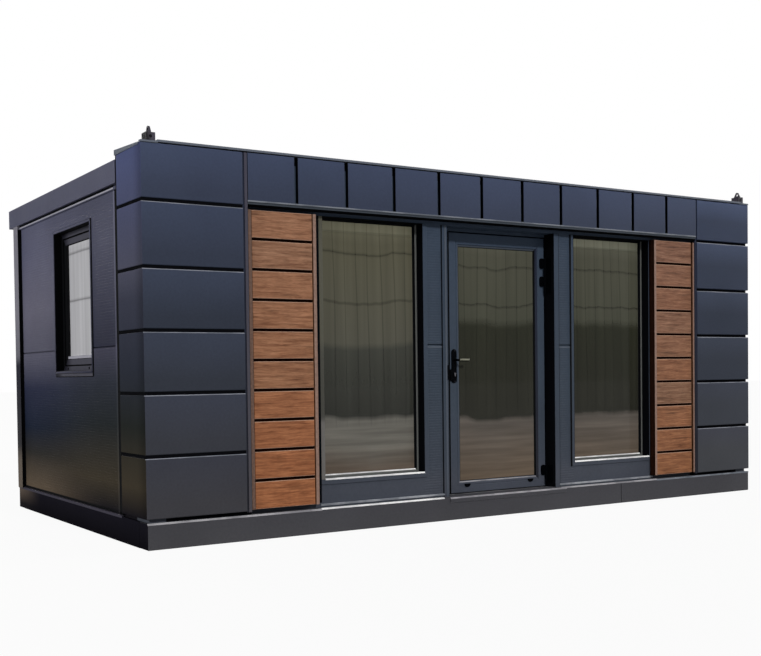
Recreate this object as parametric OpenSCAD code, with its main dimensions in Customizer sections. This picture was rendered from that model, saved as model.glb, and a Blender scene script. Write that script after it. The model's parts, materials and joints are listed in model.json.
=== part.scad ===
// Container office: a six by three metre modular unit with a clad front portal.
// Millimetres. X runs along the front, Y from the front to the back, Z up from the ground.

/* [Overall] */
// Width of the unit along the front
width = 6000; // [5000:50:7200]
// Depth of the unit from the portal face to the rear posts
depth = 3000; // [2500:50:3600]

/* [Base and floor] */
// Height of the base frame
base_h = 175; // [120:5:250]
// Width of each base beam
base_beam_w = 150; // [100:5:180]
// How far the base frame stands inside the cladding at both sides
base_inset = 8; // [0:1:20]
// Thickness of the floor deck
floor_t = 120; // [60:5:150]

/* [Walls and posts] */
// Thickness of the front wall
front_wall_t = 160; // [120:5:200]
// Thickness of the side and rear walls
side_wall_t = 120; // [80:5:150]
// Distance of the side and rear walls behind the post faces
wall_recess = 30; // [20:1:45]
// Distance of the front wall face behind the portal face
front_recess = 80; // [70:1:110]
// Width of a rear corner post, along the rear
post_w = 150; // [100:5:150]
// Depth of a rear corner post, along the side
post_d = 130; // [100:5:145]
// Height of the lower wall panels, from the base to their joint
lower_panel_h = 1175; // [1000:5:1300]
// Gap between the wall tops and the roof edge
eaves_gap = 12; // [6:1:20]
// Height of the light trim along the wall tops
wall_trim_h = 22; // [15:1:35]

/* [Roof] */
// Thickness of the roof panel
roof_t = 140; // [100:5:180]
// Height of the roof edge fascia
fascia_h = 156; // [130:1:200]
// Thickness of the roof edge fascia
fascia_t = 30; // [15:1:30]
// Roof overhang behind the rear posts
rear_overhang = 130; // [60:5:200]

/* [Portal cladding] */
// Thickness of a metal cassette
cassette_t = 30; // [20:1:40]
// Open joint between cassettes in a column
cassette_gap = 18; // [10:1:25]
// Open joint between header cassettes
header_gap = 26; // [15:1:35]
// Height of one column row, joint to joint
cassette_row = 413.5; // [380:0.5:430]
// Height of the top column row
top_row_h = 370; // [300:5:420]
// Height of the header cassettes
header_h = 332; // [280:1:400]
// Spacing of the header joints
header_pitch = 416; // [350:1:480]
// Width of the left column cassettes
left_column_w = 738; // [600:1:850]
// Width of the right column cassettes
right_column_w = 704; // [600:1:850]
// Depth of the portal return on both sides
return_d = 466; // [350:1:600]
// Groove beside a column
column_groove = 12; // [6:1:18]
// Width of the upright edge trim beside the left column
edge_trim_w = 25; // [15:1:35]
// Height of the lip under the header cassettes
lip_h = 34; // [20:1:50]
// Thickness of the parapet cap
cap_t = 15; // [8:1:25]
// Shadow gap under the parapet cap
cap_gap = 7; // [5:1:15]
// How far the cap stands out from the cladding
cap_proud = 4; // [2:1:8]
// Rise of the cap along each return, from the corner to its rear end
cap_rise = 23; // [0:1:30]
// Depth of the cap at the rear end of a return
cap_end_h = 36; // [20:1:40]

/* [Timber panels] */
// Width of the left timber panel
timber_left_w = 548; // [450:1:600]
// Width of the right timber panel
timber_right_w = 522; // [450:1:600]
// Number of boards in a panel
board_count = 10; // [8:1:12]
// Gap between boards
board_gap = 16; // [8:1:20]
// Board thickness
board_t = 20; // [15:1:25]
// Width of the upright trims of a timber panel
timber_trim_w = 26; // [20:1:35]
// Depth of the timber face behind the portal face
timber_setback = 24; // [20:1:28]
// Space above and below a timber panel
timber_end_gap = 16; // [10:1:25]

/* [Front openings] */
// Height of the door and window heads above the base frame
opening_h = 2097; // [1900:1:2400]
// Height of the front window sills above the base frame
front_sill_h = 200; // [120:5:500]
// Wall strip between a timber panel and its window
window_side_w = 74; // [72:1:120]
// Width of the flange around a window
flange_w = 37; // [25:1:40]
// How far the flanges stand out from the wall
flange_t = 6; // [3:1:7]
// Wall pier between the left window and the door frame
left_pier_w = 184; // [150:1:260]
// Wall pier between the door frame and the right window
right_pier_w = 169; // [150:1:260]
// Depth of a window frame behind the wall face
window_setback = 72; // [50:1:80]
// Width of the window frame members
window_frame_w = 26; // [20:1:40]
// Depth of the window frame section
window_frame_t = 60; // [40:1:70]
// Thickness of the lining plates in a window reveal
liner_t = 3; // [2:0.5:6]
// Thickness of the insulating glass
glass_t = 24; // [18:1:28]

/* [Side windows] */
// Distance of the side window from the portal face
side_window_y = 1080; // [700:5:1300]
// Width of the side window
side_window_w = 860; // [600:5:950]
// Height of the side window
side_window_h = 1093; // [800:1:1200]
// Side window head above the front opening heads
side_window_lift = 8; // [0:1:30]
// Width of the side window frame and sash members
side_frame_w = 62; // [50:1:80]
// Width of the trim beside and under a side window
side_trim_w = 42; // [37:1:50]
// Depth of the side window frame behind the wall face
side_setback = 60; // [40:1:60]

/* [Door] */
// Width of the door leaf
leaf_w = 1000; // [850:5:1050]
// Thickness of the door leaf
leaf_t = 60; // [50:1:60]
// Width of the door stiles and rails
stile_w = 94; // [80:1:110]
// Gap beside and over the leaf
leaf_gap = 10; // [6:1:12]
// Gap between the leaf and the door reveal on the hinge side
hinge_side_gap = 7; // [6:1:10]
// Gap between the leaf and the threshold
leaf_floor_gap = 6; // [5:1:10]
// Depth of the leaf face behind the wall face
leaf_setback = 110; // [90:1:115]
// Clear width of the door reveal
reveal_w = 1108; // [1050:1:1150]
// Width of the door frame flange at the wall face
door_flange_w = 48; // [35:1:60]
// Height of the door frame head
door_head_h = 32; // [20:1:50]
// Thickness of the threshold plate
threshold_t = 37; // [25:1:60]
// Drop of the threshold below the base frame top
threshold_drop = 3; // [1:1:8]
// How far the threshold stands out from the base frame
threshold_proud = 5; // [3:1:10]

/* [Door hardware] */
// Hinge pin radius
pin_r = 5; // [4:0.5:6]
// Hinge barrel radius
barrel_r = 9; // [8:0.5:10]
// Height of the leaf half of a hinge
hinge_leaf_h = 85; // [60:1:100]
// Height of the frame half of a hinge
hinge_frame_h = 60; // [40:1:70]
// Distance of the hinge axis in front of the leaf face
hinge_offset = 18; // [15:1:22]
// Height of the handle above the leaf bottom
handle_h = 1056; // [950:1:1150]
// Height of the handle backplate
backplate_h = 267; // [200:1:300]
// Width of the handle backplate
backplate_w = 38; // [30:1:45]
// Thickness of the handle backplate
backplate_t = 9; // [6:1:12]
// Reach of the lever from its axis
lever_reach = 122; // [100:1:140]
// Radius of the lever neck
neck_r = 9; // [7:0.5:11]
// Distance of the lever in front of the backplate
lever_standoff = 38; // [30:1:50]

/* [Lifting eyes] */
// Width of a lifting eye block, along the front
eye_block_w = 65; // [60:1:80]
// Depth of a lifting eye block
eye_block_d = 76; // [60:1:90]
// Height of a lifting eye block above the parapet cap
eye_block_h = 52; // [35:1:60]
// Distance of the left lifting eye from the left side
eye_left_x = 55; // [32:1:70]
// Distance of the right lifting eye from the right side
eye_right_x = 32; // [32:1:70]
// Height of the ring above its block
eye_ring_h = 46; // [40:1:60]
// Width of the ring at its foot
eye_ring_w = 60; // [50:1:70]
// Thickness of the ring
eye_ring_t = 14; // [10:1:20]
// Radius of the hole in the ring
eye_hole_r = 11; // [8:1:12]

/* [Hidden] */
pin_clearance = 0.1;
neck_clearance = 0.1;
spindle_r = 5;
backplate_lap = 8;
overcut = 1;
round_fn = 48;

// Levels above the ground
lintel_z = base_h + opening_h;
lip_z = lintel_z + 17;
header_z = lip_z + lip_h;
cassette_top = header_z + header_h;
cap_z = cassette_top + cap_gap;
wall_top = lintel_z + 188;
roof_z = wall_top;
roof_top = roof_z + roof_t;
fascia_z = wall_top + 2;
trim_top = fascia_z - eaves_gap;
column_z = base_h + cassette_gap + 12;
joint_floor = base_h + 21;

// Places along the front, from the left portal face
wall_x = wall_recess + side_wall_t;
strip_x = left_column_w + column_groove;
timber_left_x = strip_x + edge_trim_w + 10;
right_column_x = width - right_column_w;
header_x = strip_x + edge_trim_w;
header_end = right_column_x - column_groove;
timber_right_x = header_end - timber_right_w;
opening_start = timber_left_x + timber_left_w + window_side_w;
opening_end = timber_right_x - 7;
window_w = (opening_end - opening_start - left_pier_w - right_pier_w
    - reveal_w - 2 * door_flange_w) / 2;
door_frame_x = opening_start + window_w + left_pier_w;
reveal_x = door_frame_x + door_flange_w;
reveal_end = reveal_x + reveal_w;
door_frame_end = reveal_end + door_flange_w;
right_window_x = door_frame_end + right_pier_w;
front_sill_z = base_h + front_sill_h;

// Places from the front to the back
wall_y = front_recess;
room_y = wall_y + front_wall_t;
post_y = depth - post_d;
frame_y = wall_y + window_setback;
leaf_y = wall_y + leaf_setback;
back_y = depth + rear_overhang;
front_y = -threshold_proud;
threshold_end = room_y + 36;

// Door leaf
leaf_x = reveal_end - hinge_side_gap - leaf_w;
leaf_end = leaf_x + leaf_w;
threshold_z = base_h - threshold_drop;
leaf_z = threshold_z + leaf_floor_gap;
leaf_top = lintel_z - door_head_h;
leaf_h = leaf_top - leaf_z;
hinge_x = leaf_end - 5;
hinge_y = leaf_y - hinge_offset;
hinge_tops = [leaf_top - 165, leaf_top - 315, leaf_z + 177];
handle_x = leaf_x + stile_w / 2;
handle_z = leaf_z + handle_h;

// A block between two opposite corners
module block(x0, x1, y0, y1, z0, z1) {
    translate([x0, y0, z0]) cube([x1 - x0, y1 - y0, z1 - z0]);
}

// Moves the unit so that the centre of its footprint is the origin
module placed() {
    translate([-width / 2, -(front_y + back_y) / 2, 0]) children();
}

// The right-hand twin of a left-hand piece
module twin() {
    translate([width, 0, 0]) mirror([1, 0, 0]) children();
}

// Base and floor
module base_beam_front() {
    color("#3f4043") placed() difference() {
        block(base_inset, width - base_inset, 0, base_beam_w, 0, base_h);
        block(door_frame_x, door_frame_end, -overcut, base_beam_w + overcut,
            threshold_z - threshold_t, base_h + overcut);
    }
}
module base_beam_rear() {
    color("#3f4043") placed()
        block(base_inset, width - base_inset, depth - base_beam_w, depth, 0, base_h);
}
module base_beam_side() {
    block(base_inset, base_inset + base_beam_w, base_beam_w, depth - base_beam_w, 0, base_h);
}
module base_beams_side() {
    color("#2b2b30") placed() {
        base_beam_side();
        twin() base_beam_side();
    }
}
module floor_deck() {
    inside = base_inset + base_beam_w;
    color("#8d8f8e") placed() difference() {
        block(inside, width - inside, base_beam_w, depth - base_beam_w, base_h - floor_t, base_h);
        block(door_frame_x, door_frame_end, base_beam_w - overcut, threshold_end,
            threshold_z - threshold_t, base_h + overcut);
    }
}

// Posts and walls
module front_post() {
    block(wall_recess, wall_x, cassette_t, room_y, base_h, roof_top);
}
module front_posts() {
    color("#3c424c") placed() {
        front_post();
        twin() front_post();
    }
}
module rear_post() {
    block(0, post_w, post_y, depth, base_h, wall_top);
}
module rear_posts() {
    color("#4d525d") placed() {
        rear_post();
        twin() rear_post();
    }
}
side_head_z = lintel_z + side_window_lift;
side_sill_z = side_head_z - side_window_h;
module side_wall(z0, z1) {
    difference() {
        block(wall_recess, wall_x, room_y, post_y, z0, z1);
        block(0, wall_x + overcut, side_window_y, side_window_y + side_window_w,
            side_sill_z, side_head_z);
    }
}
panel_joint_z = base_h + lower_panel_h;
module left_wall_lower() {
    color("#3e4149") placed() side_wall(base_h, panel_joint_z);
}
module left_wall_upper() {
    color("#4a4f5b") placed() side_wall(panel_joint_z, wall_top);
}
module right_wall_lower() {
    color("#3e4149") placed() twin() side_wall(base_h, panel_joint_z);
}
module right_wall_upper() {
    color("#4a4f5b") placed() twin() side_wall(panel_joint_z, wall_top);
}
module rear_wall(z0, z1) {
    block(wall_x, width - wall_x, depth - wall_recess - side_wall_t, depth - wall_recess, z0, z1);
}
module rear_wall_lower() {
    color("#3e4149") placed() rear_wall(base_h, panel_joint_z);
}
module rear_wall_upper() {
    color("#4a4f5b") placed() rear_wall(panel_joint_z, wall_top);
}
module front_wall(x0, x1, z0, z1) {
    block(x0, x1, wall_y, room_y, z0, z1);
}
module front_wall_left() {
    color("#3c444f") placed() front_wall(wall_x, opening_start, base_h, lintel_z);
}
module front_wall_right() {
    color("#3c444f") placed() front_wall(opening_end, width - wall_x, base_h, lintel_z);
}
module front_piers() {
    color("#3c444f") placed() {
        front_wall(opening_start + window_w, door_frame_x, base_h, lintel_z);
        front_wall(door_frame_end, right_window_x, base_h, lintel_z);
    }
}
module front_sills() {
    color("#3c444f") placed() {
        front_wall(opening_start, opening_start + window_w, base_h, front_sill_z);
        front_wall(right_window_x, opening_end, base_h, front_sill_z);
    }
}
module header_beam() {
    color("#2e333c") placed() {
        block(wall_x, width - wall_x, cassette_t, room_y, lip_z, roof_top);
        block(wall_x, width - wall_x, wall_y, room_y, lintel_z, lip_z + overcut);
    }
}
module header_lip() {
    color("#4a525c") placed() block(header_x, header_end, 5, cassette_t, lip_z, header_z - 2);
}

// Roof
module roof_panel() {
    color("#5a5d61") placed()
        block(fascia_t, width - fascia_t, room_y, back_y - fascia_t, roof_z, roof_top);
}
module side_fascia() {
    block(0, fascia_t, return_d, back_y, fascia_z, fascia_z + fascia_h);
}
module side_fascias() {
    color("#50535f") placed() {
        side_fascia();
        twin() side_fascia();
    }
}
module rear_fascia() {
    color("#50535f") placed()
        block(fascia_t, width - fascia_t, back_y - fascia_t, back_y, fascia_z, fascia_z + fascia_h);
}
module side_trim() {
    block(wall_recess - 10, wall_recess, return_d, post_y, trim_top - wall_trim_h, trim_top);
}
module wall_top_trim() {
    color("#8a8a90") placed() {
        side_trim();
        twin() side_trim();
        block(post_w, width - post_w, depth - wall_recess, depth - wall_recess + 10,
            trim_top - wall_trim_h, trim_top);
    }
}

// Portal cladding
module portal_core_left() {
    color("#14161a") placed() {
        block(wall_x, timber_left_x, cassette_t, wall_y, base_h, lip_z);
        block(strip_x, header_x, 2, cassette_t, joint_floor, cassette_top);
    }
}
module portal_core_right() {
    color("#14161a") placed() block(timber_right_x + timber_right_w, width - wall_x,
        cassette_t, wall_y, base_h, lip_z);
}
row_joints = concat([for (i = [0 : 4]) joint_floor + i * cassette_row], [cassette_top - top_row_h]);
module column_cassettes(column_w) {
    for (i = [0 : 5]) {
        z0 = row_joints[i] + (i == 0 ? 0 : cassette_gap / 2);
        z1 = i == 5 ? cassette_top : row_joints[i + 1] - cassette_gap / 2;
        difference() {
            translate([0, 0, z0]) linear_extrude(z1 - z0) difference() {
                square([column_w, return_d]);
                translate([cassette_t, cassette_t]) square([column_w, return_d]);
            }
            if (i == 5) block(-overcut, cassette_t + overcut, cassette_t, return_d + overcut,
                return_top, cassette_top + overcut);
        }
    }
}
module cassettes_left() {
    color("#3d4453") placed() column_cassettes(left_column_w);
}
module cassettes_right() {
    color("#3d4453") placed() twin() column_cassettes(right_column_w);
}
header_len = header_end - header_x;
joint_count = floor((header_len - 200) / header_pitch);
first_joint = header_x + (header_len - (joint_count - 1) * header_pitch) / 2;
module cassettes_header() {
    color("#3d4453") placed() for (i = [0 : joint_count]) {
        x0 = i == 0 ? header_x : first_joint + (i - 1) * header_pitch + header_gap / 2;
        x1 = i == joint_count ? header_end : first_joint + i * header_pitch - header_gap / 2;
        block(x0, x1, 0, cassette_t, header_z, cassette_top);
    }
}
parapet_w = 50;
return_top = cassette_top - 12;
cap_front_y = cassette_t + parapet_w;
module parapet_core() {
    color("#14161a") placed() difference() {
        union() {
            block(cassette_t, width - cassette_t, cassette_t, cap_front_y, roof_top, return_top);
            block(cassette_t, cassette_t + parapet_w, cassette_t, return_d, roof_top, return_top);
            twin() block(cassette_t, cassette_t + parapet_w, cassette_t, return_d, roof_top, return_top);
            block(cap_front_y, width - cap_front_y, cassette_t, cap_front_y, roof_top, cap_z);
        }
        eye_slots();
    }
}
module return_cap() {
    corner_z = cassette_top + 2;
    translate([-cap_proud, 0, 0]) rotate([90, 0, 90])
        linear_extrude(cassette_t + parapet_w + cap_proud)
            polygon([[cassette_t, return_top], [cassette_t, corner_z], [return_d, corner_z + cap_rise],
                [return_d, corner_z + cap_rise - cap_end_h], [return_d - 20, return_top]]);
}
module parapet_cap() {
    color("#5b626e") placed() difference() {
        union() {
            block(cap_front_y, width - cap_front_y, -cap_proud, cap_front_y, cap_z, cap_z + cap_t);
            return_cap();
            twin() return_cap();
        }
        eye_slots();
    }
}

// Timber panels
timber_z = base_h + timber_end_gap + 16;
timber_top = lip_z - timber_end_gap;
board_face = timber_setback;
board_back = timber_setback + board_t;
module timber_frame(x0, panel_w) {
    block(x0, x0 + panel_w, board_back, wall_y - 8, timber_z, timber_top);
    for (x = [x0, x0 + panel_w - timber_trim_w])
        block(x, x + timber_trim_w, board_face - 2, board_back + overcut, timber_z, timber_top);
    for (x = [x0 + 60, x0 + panel_w - 100])
        block(x, x + 40, wall_y - 8 - overcut, wall_y, timber_z, timber_top);
}
module board_row(x0, panel_w) {
    pitch = (timber_top - timber_z + board_gap) / board_count;
    for (i = [0 : board_count - 1]) {
        z0 = timber_z + i * pitch;
        block(x0 + timber_trim_w + 3, x0 + panel_w - timber_trim_w - 18,
            board_face, board_back, z0, z0 + pitch - board_gap);
    }
}
module timber_frames() {
    color("#6b4a3a") placed() {
        timber_frame(timber_left_x, timber_left_w);
        timber_frame(timber_right_x, timber_right_w);
    }
}
module timber_boards() {
    color("#8a5f45") placed() {
        board_row(timber_left_x, timber_left_w);
        board_row(timber_right_x, timber_right_w);
    }
}

// Windows
module frame_ring(w, h, t, member) {
    difference() {
        cube([w, t, h]);
        translate([member, -overcut, member])
            cube([w - 2 * member, t + 2 * overcut, h - 2 * member]);
    }
}
module flange(w, h, side) {
    translate([-flange_w, 0, -flange_w]) difference() {
        cube([w + flange_w + side, flange_t, h + flange_w]);
        translate([flange_w, -overcut, flange_w])
            cube([w, flange_t + 2 * overcut, h + overcut]);
    }
}
module front_window(x0, side) {
    window_h = lintel_z - front_sill_z;
    translate([x0, frame_y, front_sill_z])
        frame_ring(window_w, window_h, window_frame_t, window_frame_w);
    translate([x0, wall_y - flange_t, front_sill_z]) flange(window_w, window_h, side);
    for (x = [x0, x0 + window_w - liner_t])
        block(x, x + liner_t, wall_y - flange_t, frame_y + overcut, front_sill_z, lintel_z);
}
module window_left() {
    color("#3a4048") placed() front_window(opening_start, flange_w);
}
module window_right() {
    color("#3a4048") placed() front_window(right_window_x, 5);
}
side_frame_x = wall_recess + side_setback;
module side_window() {
    sill_y = side_window_y - side_trim_w;
    translate([side_frame_x, side_window_y, side_sill_z]) difference() {
        cube([window_frame_t, side_window_w, side_window_h]);
        translate([-overcut, side_frame_w, side_frame_w])
            cube([window_frame_t + 2 * overcut, side_window_w - 2 * side_frame_w,
                side_window_h - 2 * side_frame_w]);
    }
    block(wall_recess - flange_t, wall_recess, sill_y, side_window_y,
        side_sill_z - side_trim_w, side_head_z + flange_w / 2);
    block(wall_recess - flange_t, wall_recess, sill_y, side_window_y + side_window_w,
        side_sill_z - flange_w, side_sill_z);
    for (y = [side_window_y, side_window_y + side_window_w - liner_t])
        block(wall_recess - flange_t, side_frame_x + overcut, y, y + liner_t, side_sill_z, side_head_z);
    block(wall_recess - flange_t, side_frame_x + overcut, side_window_y, side_window_y + side_window_w,
        side_sill_z, side_sill_z + liner_t);
}
module side_window_left() {
    color("#3a3d45") placed() side_window();
}
module side_window_right() {
    color("#3a3d45") placed() twin() side_window();
}
module front_pane(x0) {
    block(x0 + window_frame_w, x0 + window_w - window_frame_w,
        frame_y + (window_frame_t - glass_t) / 2, frame_y + (window_frame_t + glass_t) / 2,
        front_sill_z + window_frame_w, lintel_z - window_frame_w);
}
module side_pane() {
    pane_x = side_frame_x + (window_frame_t - glass_t) / 2;
    block(pane_x, pane_x + glass_t,
        side_window_y + side_frame_w, side_window_y + side_window_w - side_frame_w,
        side_sill_z + side_frame_w, side_head_z - side_frame_w);
}
module window_glass() {
    color("#5f6156") placed() {
        front_pane(opening_start);
        front_pane(right_window_x);
        side_pane();
        twin() side_pane();
    }
}

// Door
stop_y = leaf_y + leaf_t + 6;
module door_stop() {
    difference() {
        block(door_frame_x, door_frame_end, room_y - overcut, stop_y + 20, threshold_z, lintel_z);
        block(leaf_x - leaf_gap, reveal_end, room_y - 2 * overcut, stop_y,
            threshold_z - overcut, leaf_top + leaf_gap);
        block(leaf_x + 15, leaf_end - 15, room_y - 2 * overcut, stop_y + 20 + overcut,
            threshold_z - overcut, leaf_top - 15);
    }
}
module door_frame() {
    color("#414852") placed() {
        block(door_frame_x, reveal_x, wall_y - flange_t, room_y, threshold_z, lintel_z);
        block(reveal_end, door_frame_end, wall_y - flange_t, room_y, threshold_z, lintel_z);
        block(reveal_x - overcut, leaf_x - leaf_gap, leaf_y, room_y, threshold_z, lintel_z);
        block(reveal_x - overcut, reveal_end + overcut, leaf_y, room_y, leaf_top + leaf_gap, lintel_z);
        door_stop();
    }
}
module threshold() {
    color("#8b8d90") placed()
        block(door_frame_x, door_frame_end, -threshold_proud, threshold_end,
            threshold_z - threshold_t, threshold_z);
}
module door_leaf() {
    color("#3a434c") placed() difference() {
        translate([leaf_x, leaf_y, leaf_z]) frame_ring(leaf_w, leaf_h, leaf_t, stile_w);
        translate([handle_x, leaf_y - overcut, handle_z]) rotate([-90, 0, 0])
            cylinder(h = leaf_t + 2 * overcut, r = spindle_r + 6, $fn = round_fn);
    }
}
module door_glass() {
    color("#5f6156") placed() block(leaf_x + stile_w, leaf_end - stile_w,
        leaf_y + (leaf_t - glass_t) / 2, leaf_y + (leaf_t + glass_t) / 2,
        leaf_z + stile_w, leaf_top - stile_w);
}
module hinge_frames() {
    color("#101114") placed() for (z = hinge_tops) {
        translate([hinge_x, hinge_y, z - hinge_leaf_h - hinge_frame_h - 1])
            cylinder(h = hinge_frame_h, r = barrel_r, $fn = round_fn);
        translate([hinge_x, hinge_y, z - hinge_leaf_h - hinge_frame_h / 2])
            cylinder(h = hinge_leaf_h + hinge_frame_h / 2, r = pin_r, $fn = round_fn);
        block(hinge_x, reveal_end, hinge_y - barrel_r, hinge_y + 4,
            z - hinge_leaf_h - hinge_frame_h - 1, z - hinge_leaf_h - 1);
        block(reveal_end - 4, reveal_end, hinge_y - 62, hinge_y - barrel_r - 4,
            z - hinge_leaf_h - 2, z);
        block(reveal_end - 4, reveal_end, hinge_y - 62, hinge_y + 4,
            z - hinge_leaf_h - hinge_frame_h - 1, z - hinge_leaf_h - 1);
    }
}
module hinge_leaves() {
    color("#101114") placed() for (z = hinge_tops) difference() {
        union() {
            translate([hinge_x, hinge_y, z - hinge_leaf_h])
                cylinder(h = hinge_leaf_h, r = barrel_r, $fn = round_fn);
            block(hinge_x - 48, hinge_x, leaf_y - 12, leaf_y, z - hinge_leaf_h, z);
        }
        translate([hinge_x, hinge_y, z - hinge_leaf_h - overcut])
            cylinder(h = hinge_leaf_h + 2 * overcut, r = pin_r + pin_clearance, $fn = round_fn);
    }
}
module backplate(y0) {
    difference() {
        block(handle_x - backplate_w / 2, handle_x + backplate_w / 2, y0, y0 + backplate_t,
            handle_z - backplate_h + 87, handle_z + 87);
        translate([handle_x, y0 - overcut, handle_z]) rotate([-90, 0, 0])
            cylinder(h = backplate_t + 2 * overcut, r = neck_r + neck_clearance, $fn = round_fn);
    }
}
module handle_plates() {
    color("#0e0f11") placed() {
        backplate(leaf_y - backplate_t);
        backplate(leaf_y + leaf_t);
    }
}
lever_t = 12;
module lever_arm() {
    rotate([90, 0, 0]) linear_extrude(lever_t) {
        circle(r = neck_r + 1, $fn = round_fn);
        translate([0, -neck_r + 1]) square([lever_reach - neck_r, 2 * neck_r - 2]);
        translate([lever_reach - neck_r, 0]) circle(r = neck_r - 1, $fn = round_fn);
    }
}
module handle_lever() {
    color("#1a1b1d") placed() translate([handle_x, 0, handle_z]) {
        translate([0, leaf_y - backplate_t + backplate_lap, 0]) rotate([90, 0, 0])
            cylinder(h = lever_standoff + backplate_lap, r = neck_r, $fn = round_fn);
        translate([0, leaf_y + leaf_t + backplate_t - backplate_lap, 0]) rotate([-90, 0, 0])
            cylinder(h = lever_standoff + backplate_lap, r = neck_r, $fn = round_fn);
        translate([0, leaf_y - 1, 0]) rotate([-90, 0, 0])
            cylinder(h = leaf_t + 2, r = spindle_r, $fn = round_fn);
        translate([0, leaf_y - backplate_t - lever_standoff + overcut, 0]) lever_arm();
        translate([0, leaf_y + leaf_t + backplate_t + lever_standoff + lever_t - overcut, 0]) lever_arm();
    }
}

// Lifting eyes on the front corners
eye_y = cassette_t + 1;
eye_slot_gap = 1;
module at_eyes() {
    translate([eye_left_x, eye_y, 0]) children();
    twin() translate([eye_right_x, eye_y, 0]) children();
}
module eye_slots() {
    at_eyes() translate([-eye_slot_gap, -eye_y - cap_proud - overcut, roof_top - overcut])
        cube([eye_block_w + 2 * eye_slot_gap, eye_block_d + eye_y + cap_proud + overcut + eye_slot_gap,
            cap_z + cap_t + cap_rise]);
}
module lifting_eye() {
    block_top = cap_z + cap_t + eye_block_h;
    difference() {
        translate([0, 0, roof_top]) cube([eye_block_w, eye_block_d, block_top - roof_top]);
        translate([eye_block_w / 2, -overcut, block_top - eye_block_h / 2]) rotate([-90, 0, 0])
            cylinder(h = eye_block_d + 2 * overcut, r = eye_hole_r, $fn = round_fn);
    }
    translate([(eye_block_w - eye_ring_t) / 2, eye_block_d / 2, block_top - overcut])
        rotate([90, 0, 90]) linear_extrude(eye_ring_t) eye_outline();
}
module eye_outline() {
    tip_r = eye_ring_w / 4;
    difference() {
        union() {
            translate([0, eye_ring_h + overcut - tip_r]) circle(r = tip_r, $fn = round_fn);
            polygon([[-eye_ring_w / 2, 0], [eye_ring_w / 2, 0], [eye_ring_w / 2, 8],
                [tip_r * 0.9, eye_ring_h + overcut - tip_r * 0.6],
                [-tip_r * 0.9, eye_ring_h + overcut - tip_r * 0.6], [-eye_ring_w / 2, 8]]);
        }
        translate([0, eye_ring_h / 2]) circle(r = eye_hole_r, $fn = round_fn);
    }
}
module lifting_eyes() {
    color("#17181b") placed() at_eyes() lifting_eye();
}

base_beam_front();
base_beam_rear();
base_beams_side();
floor_deck();
front_posts();
rear_posts();
left_wall_lower();
left_wall_upper();
right_wall_lower();
right_wall_upper();
rear_wall_lower();
rear_wall_upper();
front_wall_left();
front_wall_right();
front_piers();
front_sills();
header_beam();
header_lip();
roof_panel();
side_fascias();
rear_fascia();
wall_top_trim();
portal_core_left();
portal_core_right();
cassettes_left();
cassettes_right();
cassettes_header();
parapet_core();
parapet_cap();
timber_frames();
timber_boards();
window_left();
window_right();
side_window_left();
side_window_right();
window_glass();
door_frame();
threshold();
hinge_frames();
hinge_leaves();
door_leaf();
door_glass();
handle_plates();
handle_lever();
lifting_eyes();
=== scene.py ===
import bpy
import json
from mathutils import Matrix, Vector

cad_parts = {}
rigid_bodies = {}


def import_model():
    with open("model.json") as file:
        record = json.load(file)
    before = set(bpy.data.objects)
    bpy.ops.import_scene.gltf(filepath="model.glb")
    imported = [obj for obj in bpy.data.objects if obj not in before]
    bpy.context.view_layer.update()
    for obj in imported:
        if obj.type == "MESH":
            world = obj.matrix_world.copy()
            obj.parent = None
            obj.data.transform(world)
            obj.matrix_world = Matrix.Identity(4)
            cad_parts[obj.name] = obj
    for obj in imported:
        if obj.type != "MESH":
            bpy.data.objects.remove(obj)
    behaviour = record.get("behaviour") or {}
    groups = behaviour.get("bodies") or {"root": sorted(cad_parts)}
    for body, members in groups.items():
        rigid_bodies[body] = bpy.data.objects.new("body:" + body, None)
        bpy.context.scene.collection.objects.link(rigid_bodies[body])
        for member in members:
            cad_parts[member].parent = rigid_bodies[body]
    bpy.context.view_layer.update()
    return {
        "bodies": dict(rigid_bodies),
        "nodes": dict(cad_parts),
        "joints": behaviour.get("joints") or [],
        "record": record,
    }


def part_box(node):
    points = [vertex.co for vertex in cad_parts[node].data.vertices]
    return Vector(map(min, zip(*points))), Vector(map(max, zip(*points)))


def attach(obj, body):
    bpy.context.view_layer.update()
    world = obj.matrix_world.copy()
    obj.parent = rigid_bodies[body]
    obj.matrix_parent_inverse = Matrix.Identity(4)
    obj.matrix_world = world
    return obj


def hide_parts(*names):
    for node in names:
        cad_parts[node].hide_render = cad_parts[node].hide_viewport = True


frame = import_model()

import json
import math
import random

import bmesh
import bpy
from mathutils import Matrix, Vector

MM = 0.001
NODES = frame["nodes"]
BOX = {name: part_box(name) for name in NODES}
random.seed(7)


# ---------------------------------------------------------------- places from the frame
def islands(node):
    """Boxes of a node's separate solids, sorted by x, then y, then z."""
    mesh = NODES[node].data
    keys = {}
    point = [keys.setdefault(tuple(round(c, 5) for c in v.co), len(keys)) for v in mesh.vertices]
    parent = list(range(len(keys)))

    def root(a):
        while parent[a] != a:
            parent[a] = parent[parent[a]]
            a = parent[a]
        return a

    for edge in mesh.edges:
        parent[root(point[edge.vertices[0]])] = root(point[edge.vertices[1]])
    groups = {}
    for key, index in keys.items():
        groups.setdefault(root(index), []).append(key)
    found = []
    for group in groups.values():
        low = Vector([min(p[i] for p in group) for i in range(3)])
        high = Vector([max(p[i] for p in group) for i in range(3)])
        found.append((low, high))
    return sorted(found, key=lambda b: tuple(round(c, 4) for c in b[0]))


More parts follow.
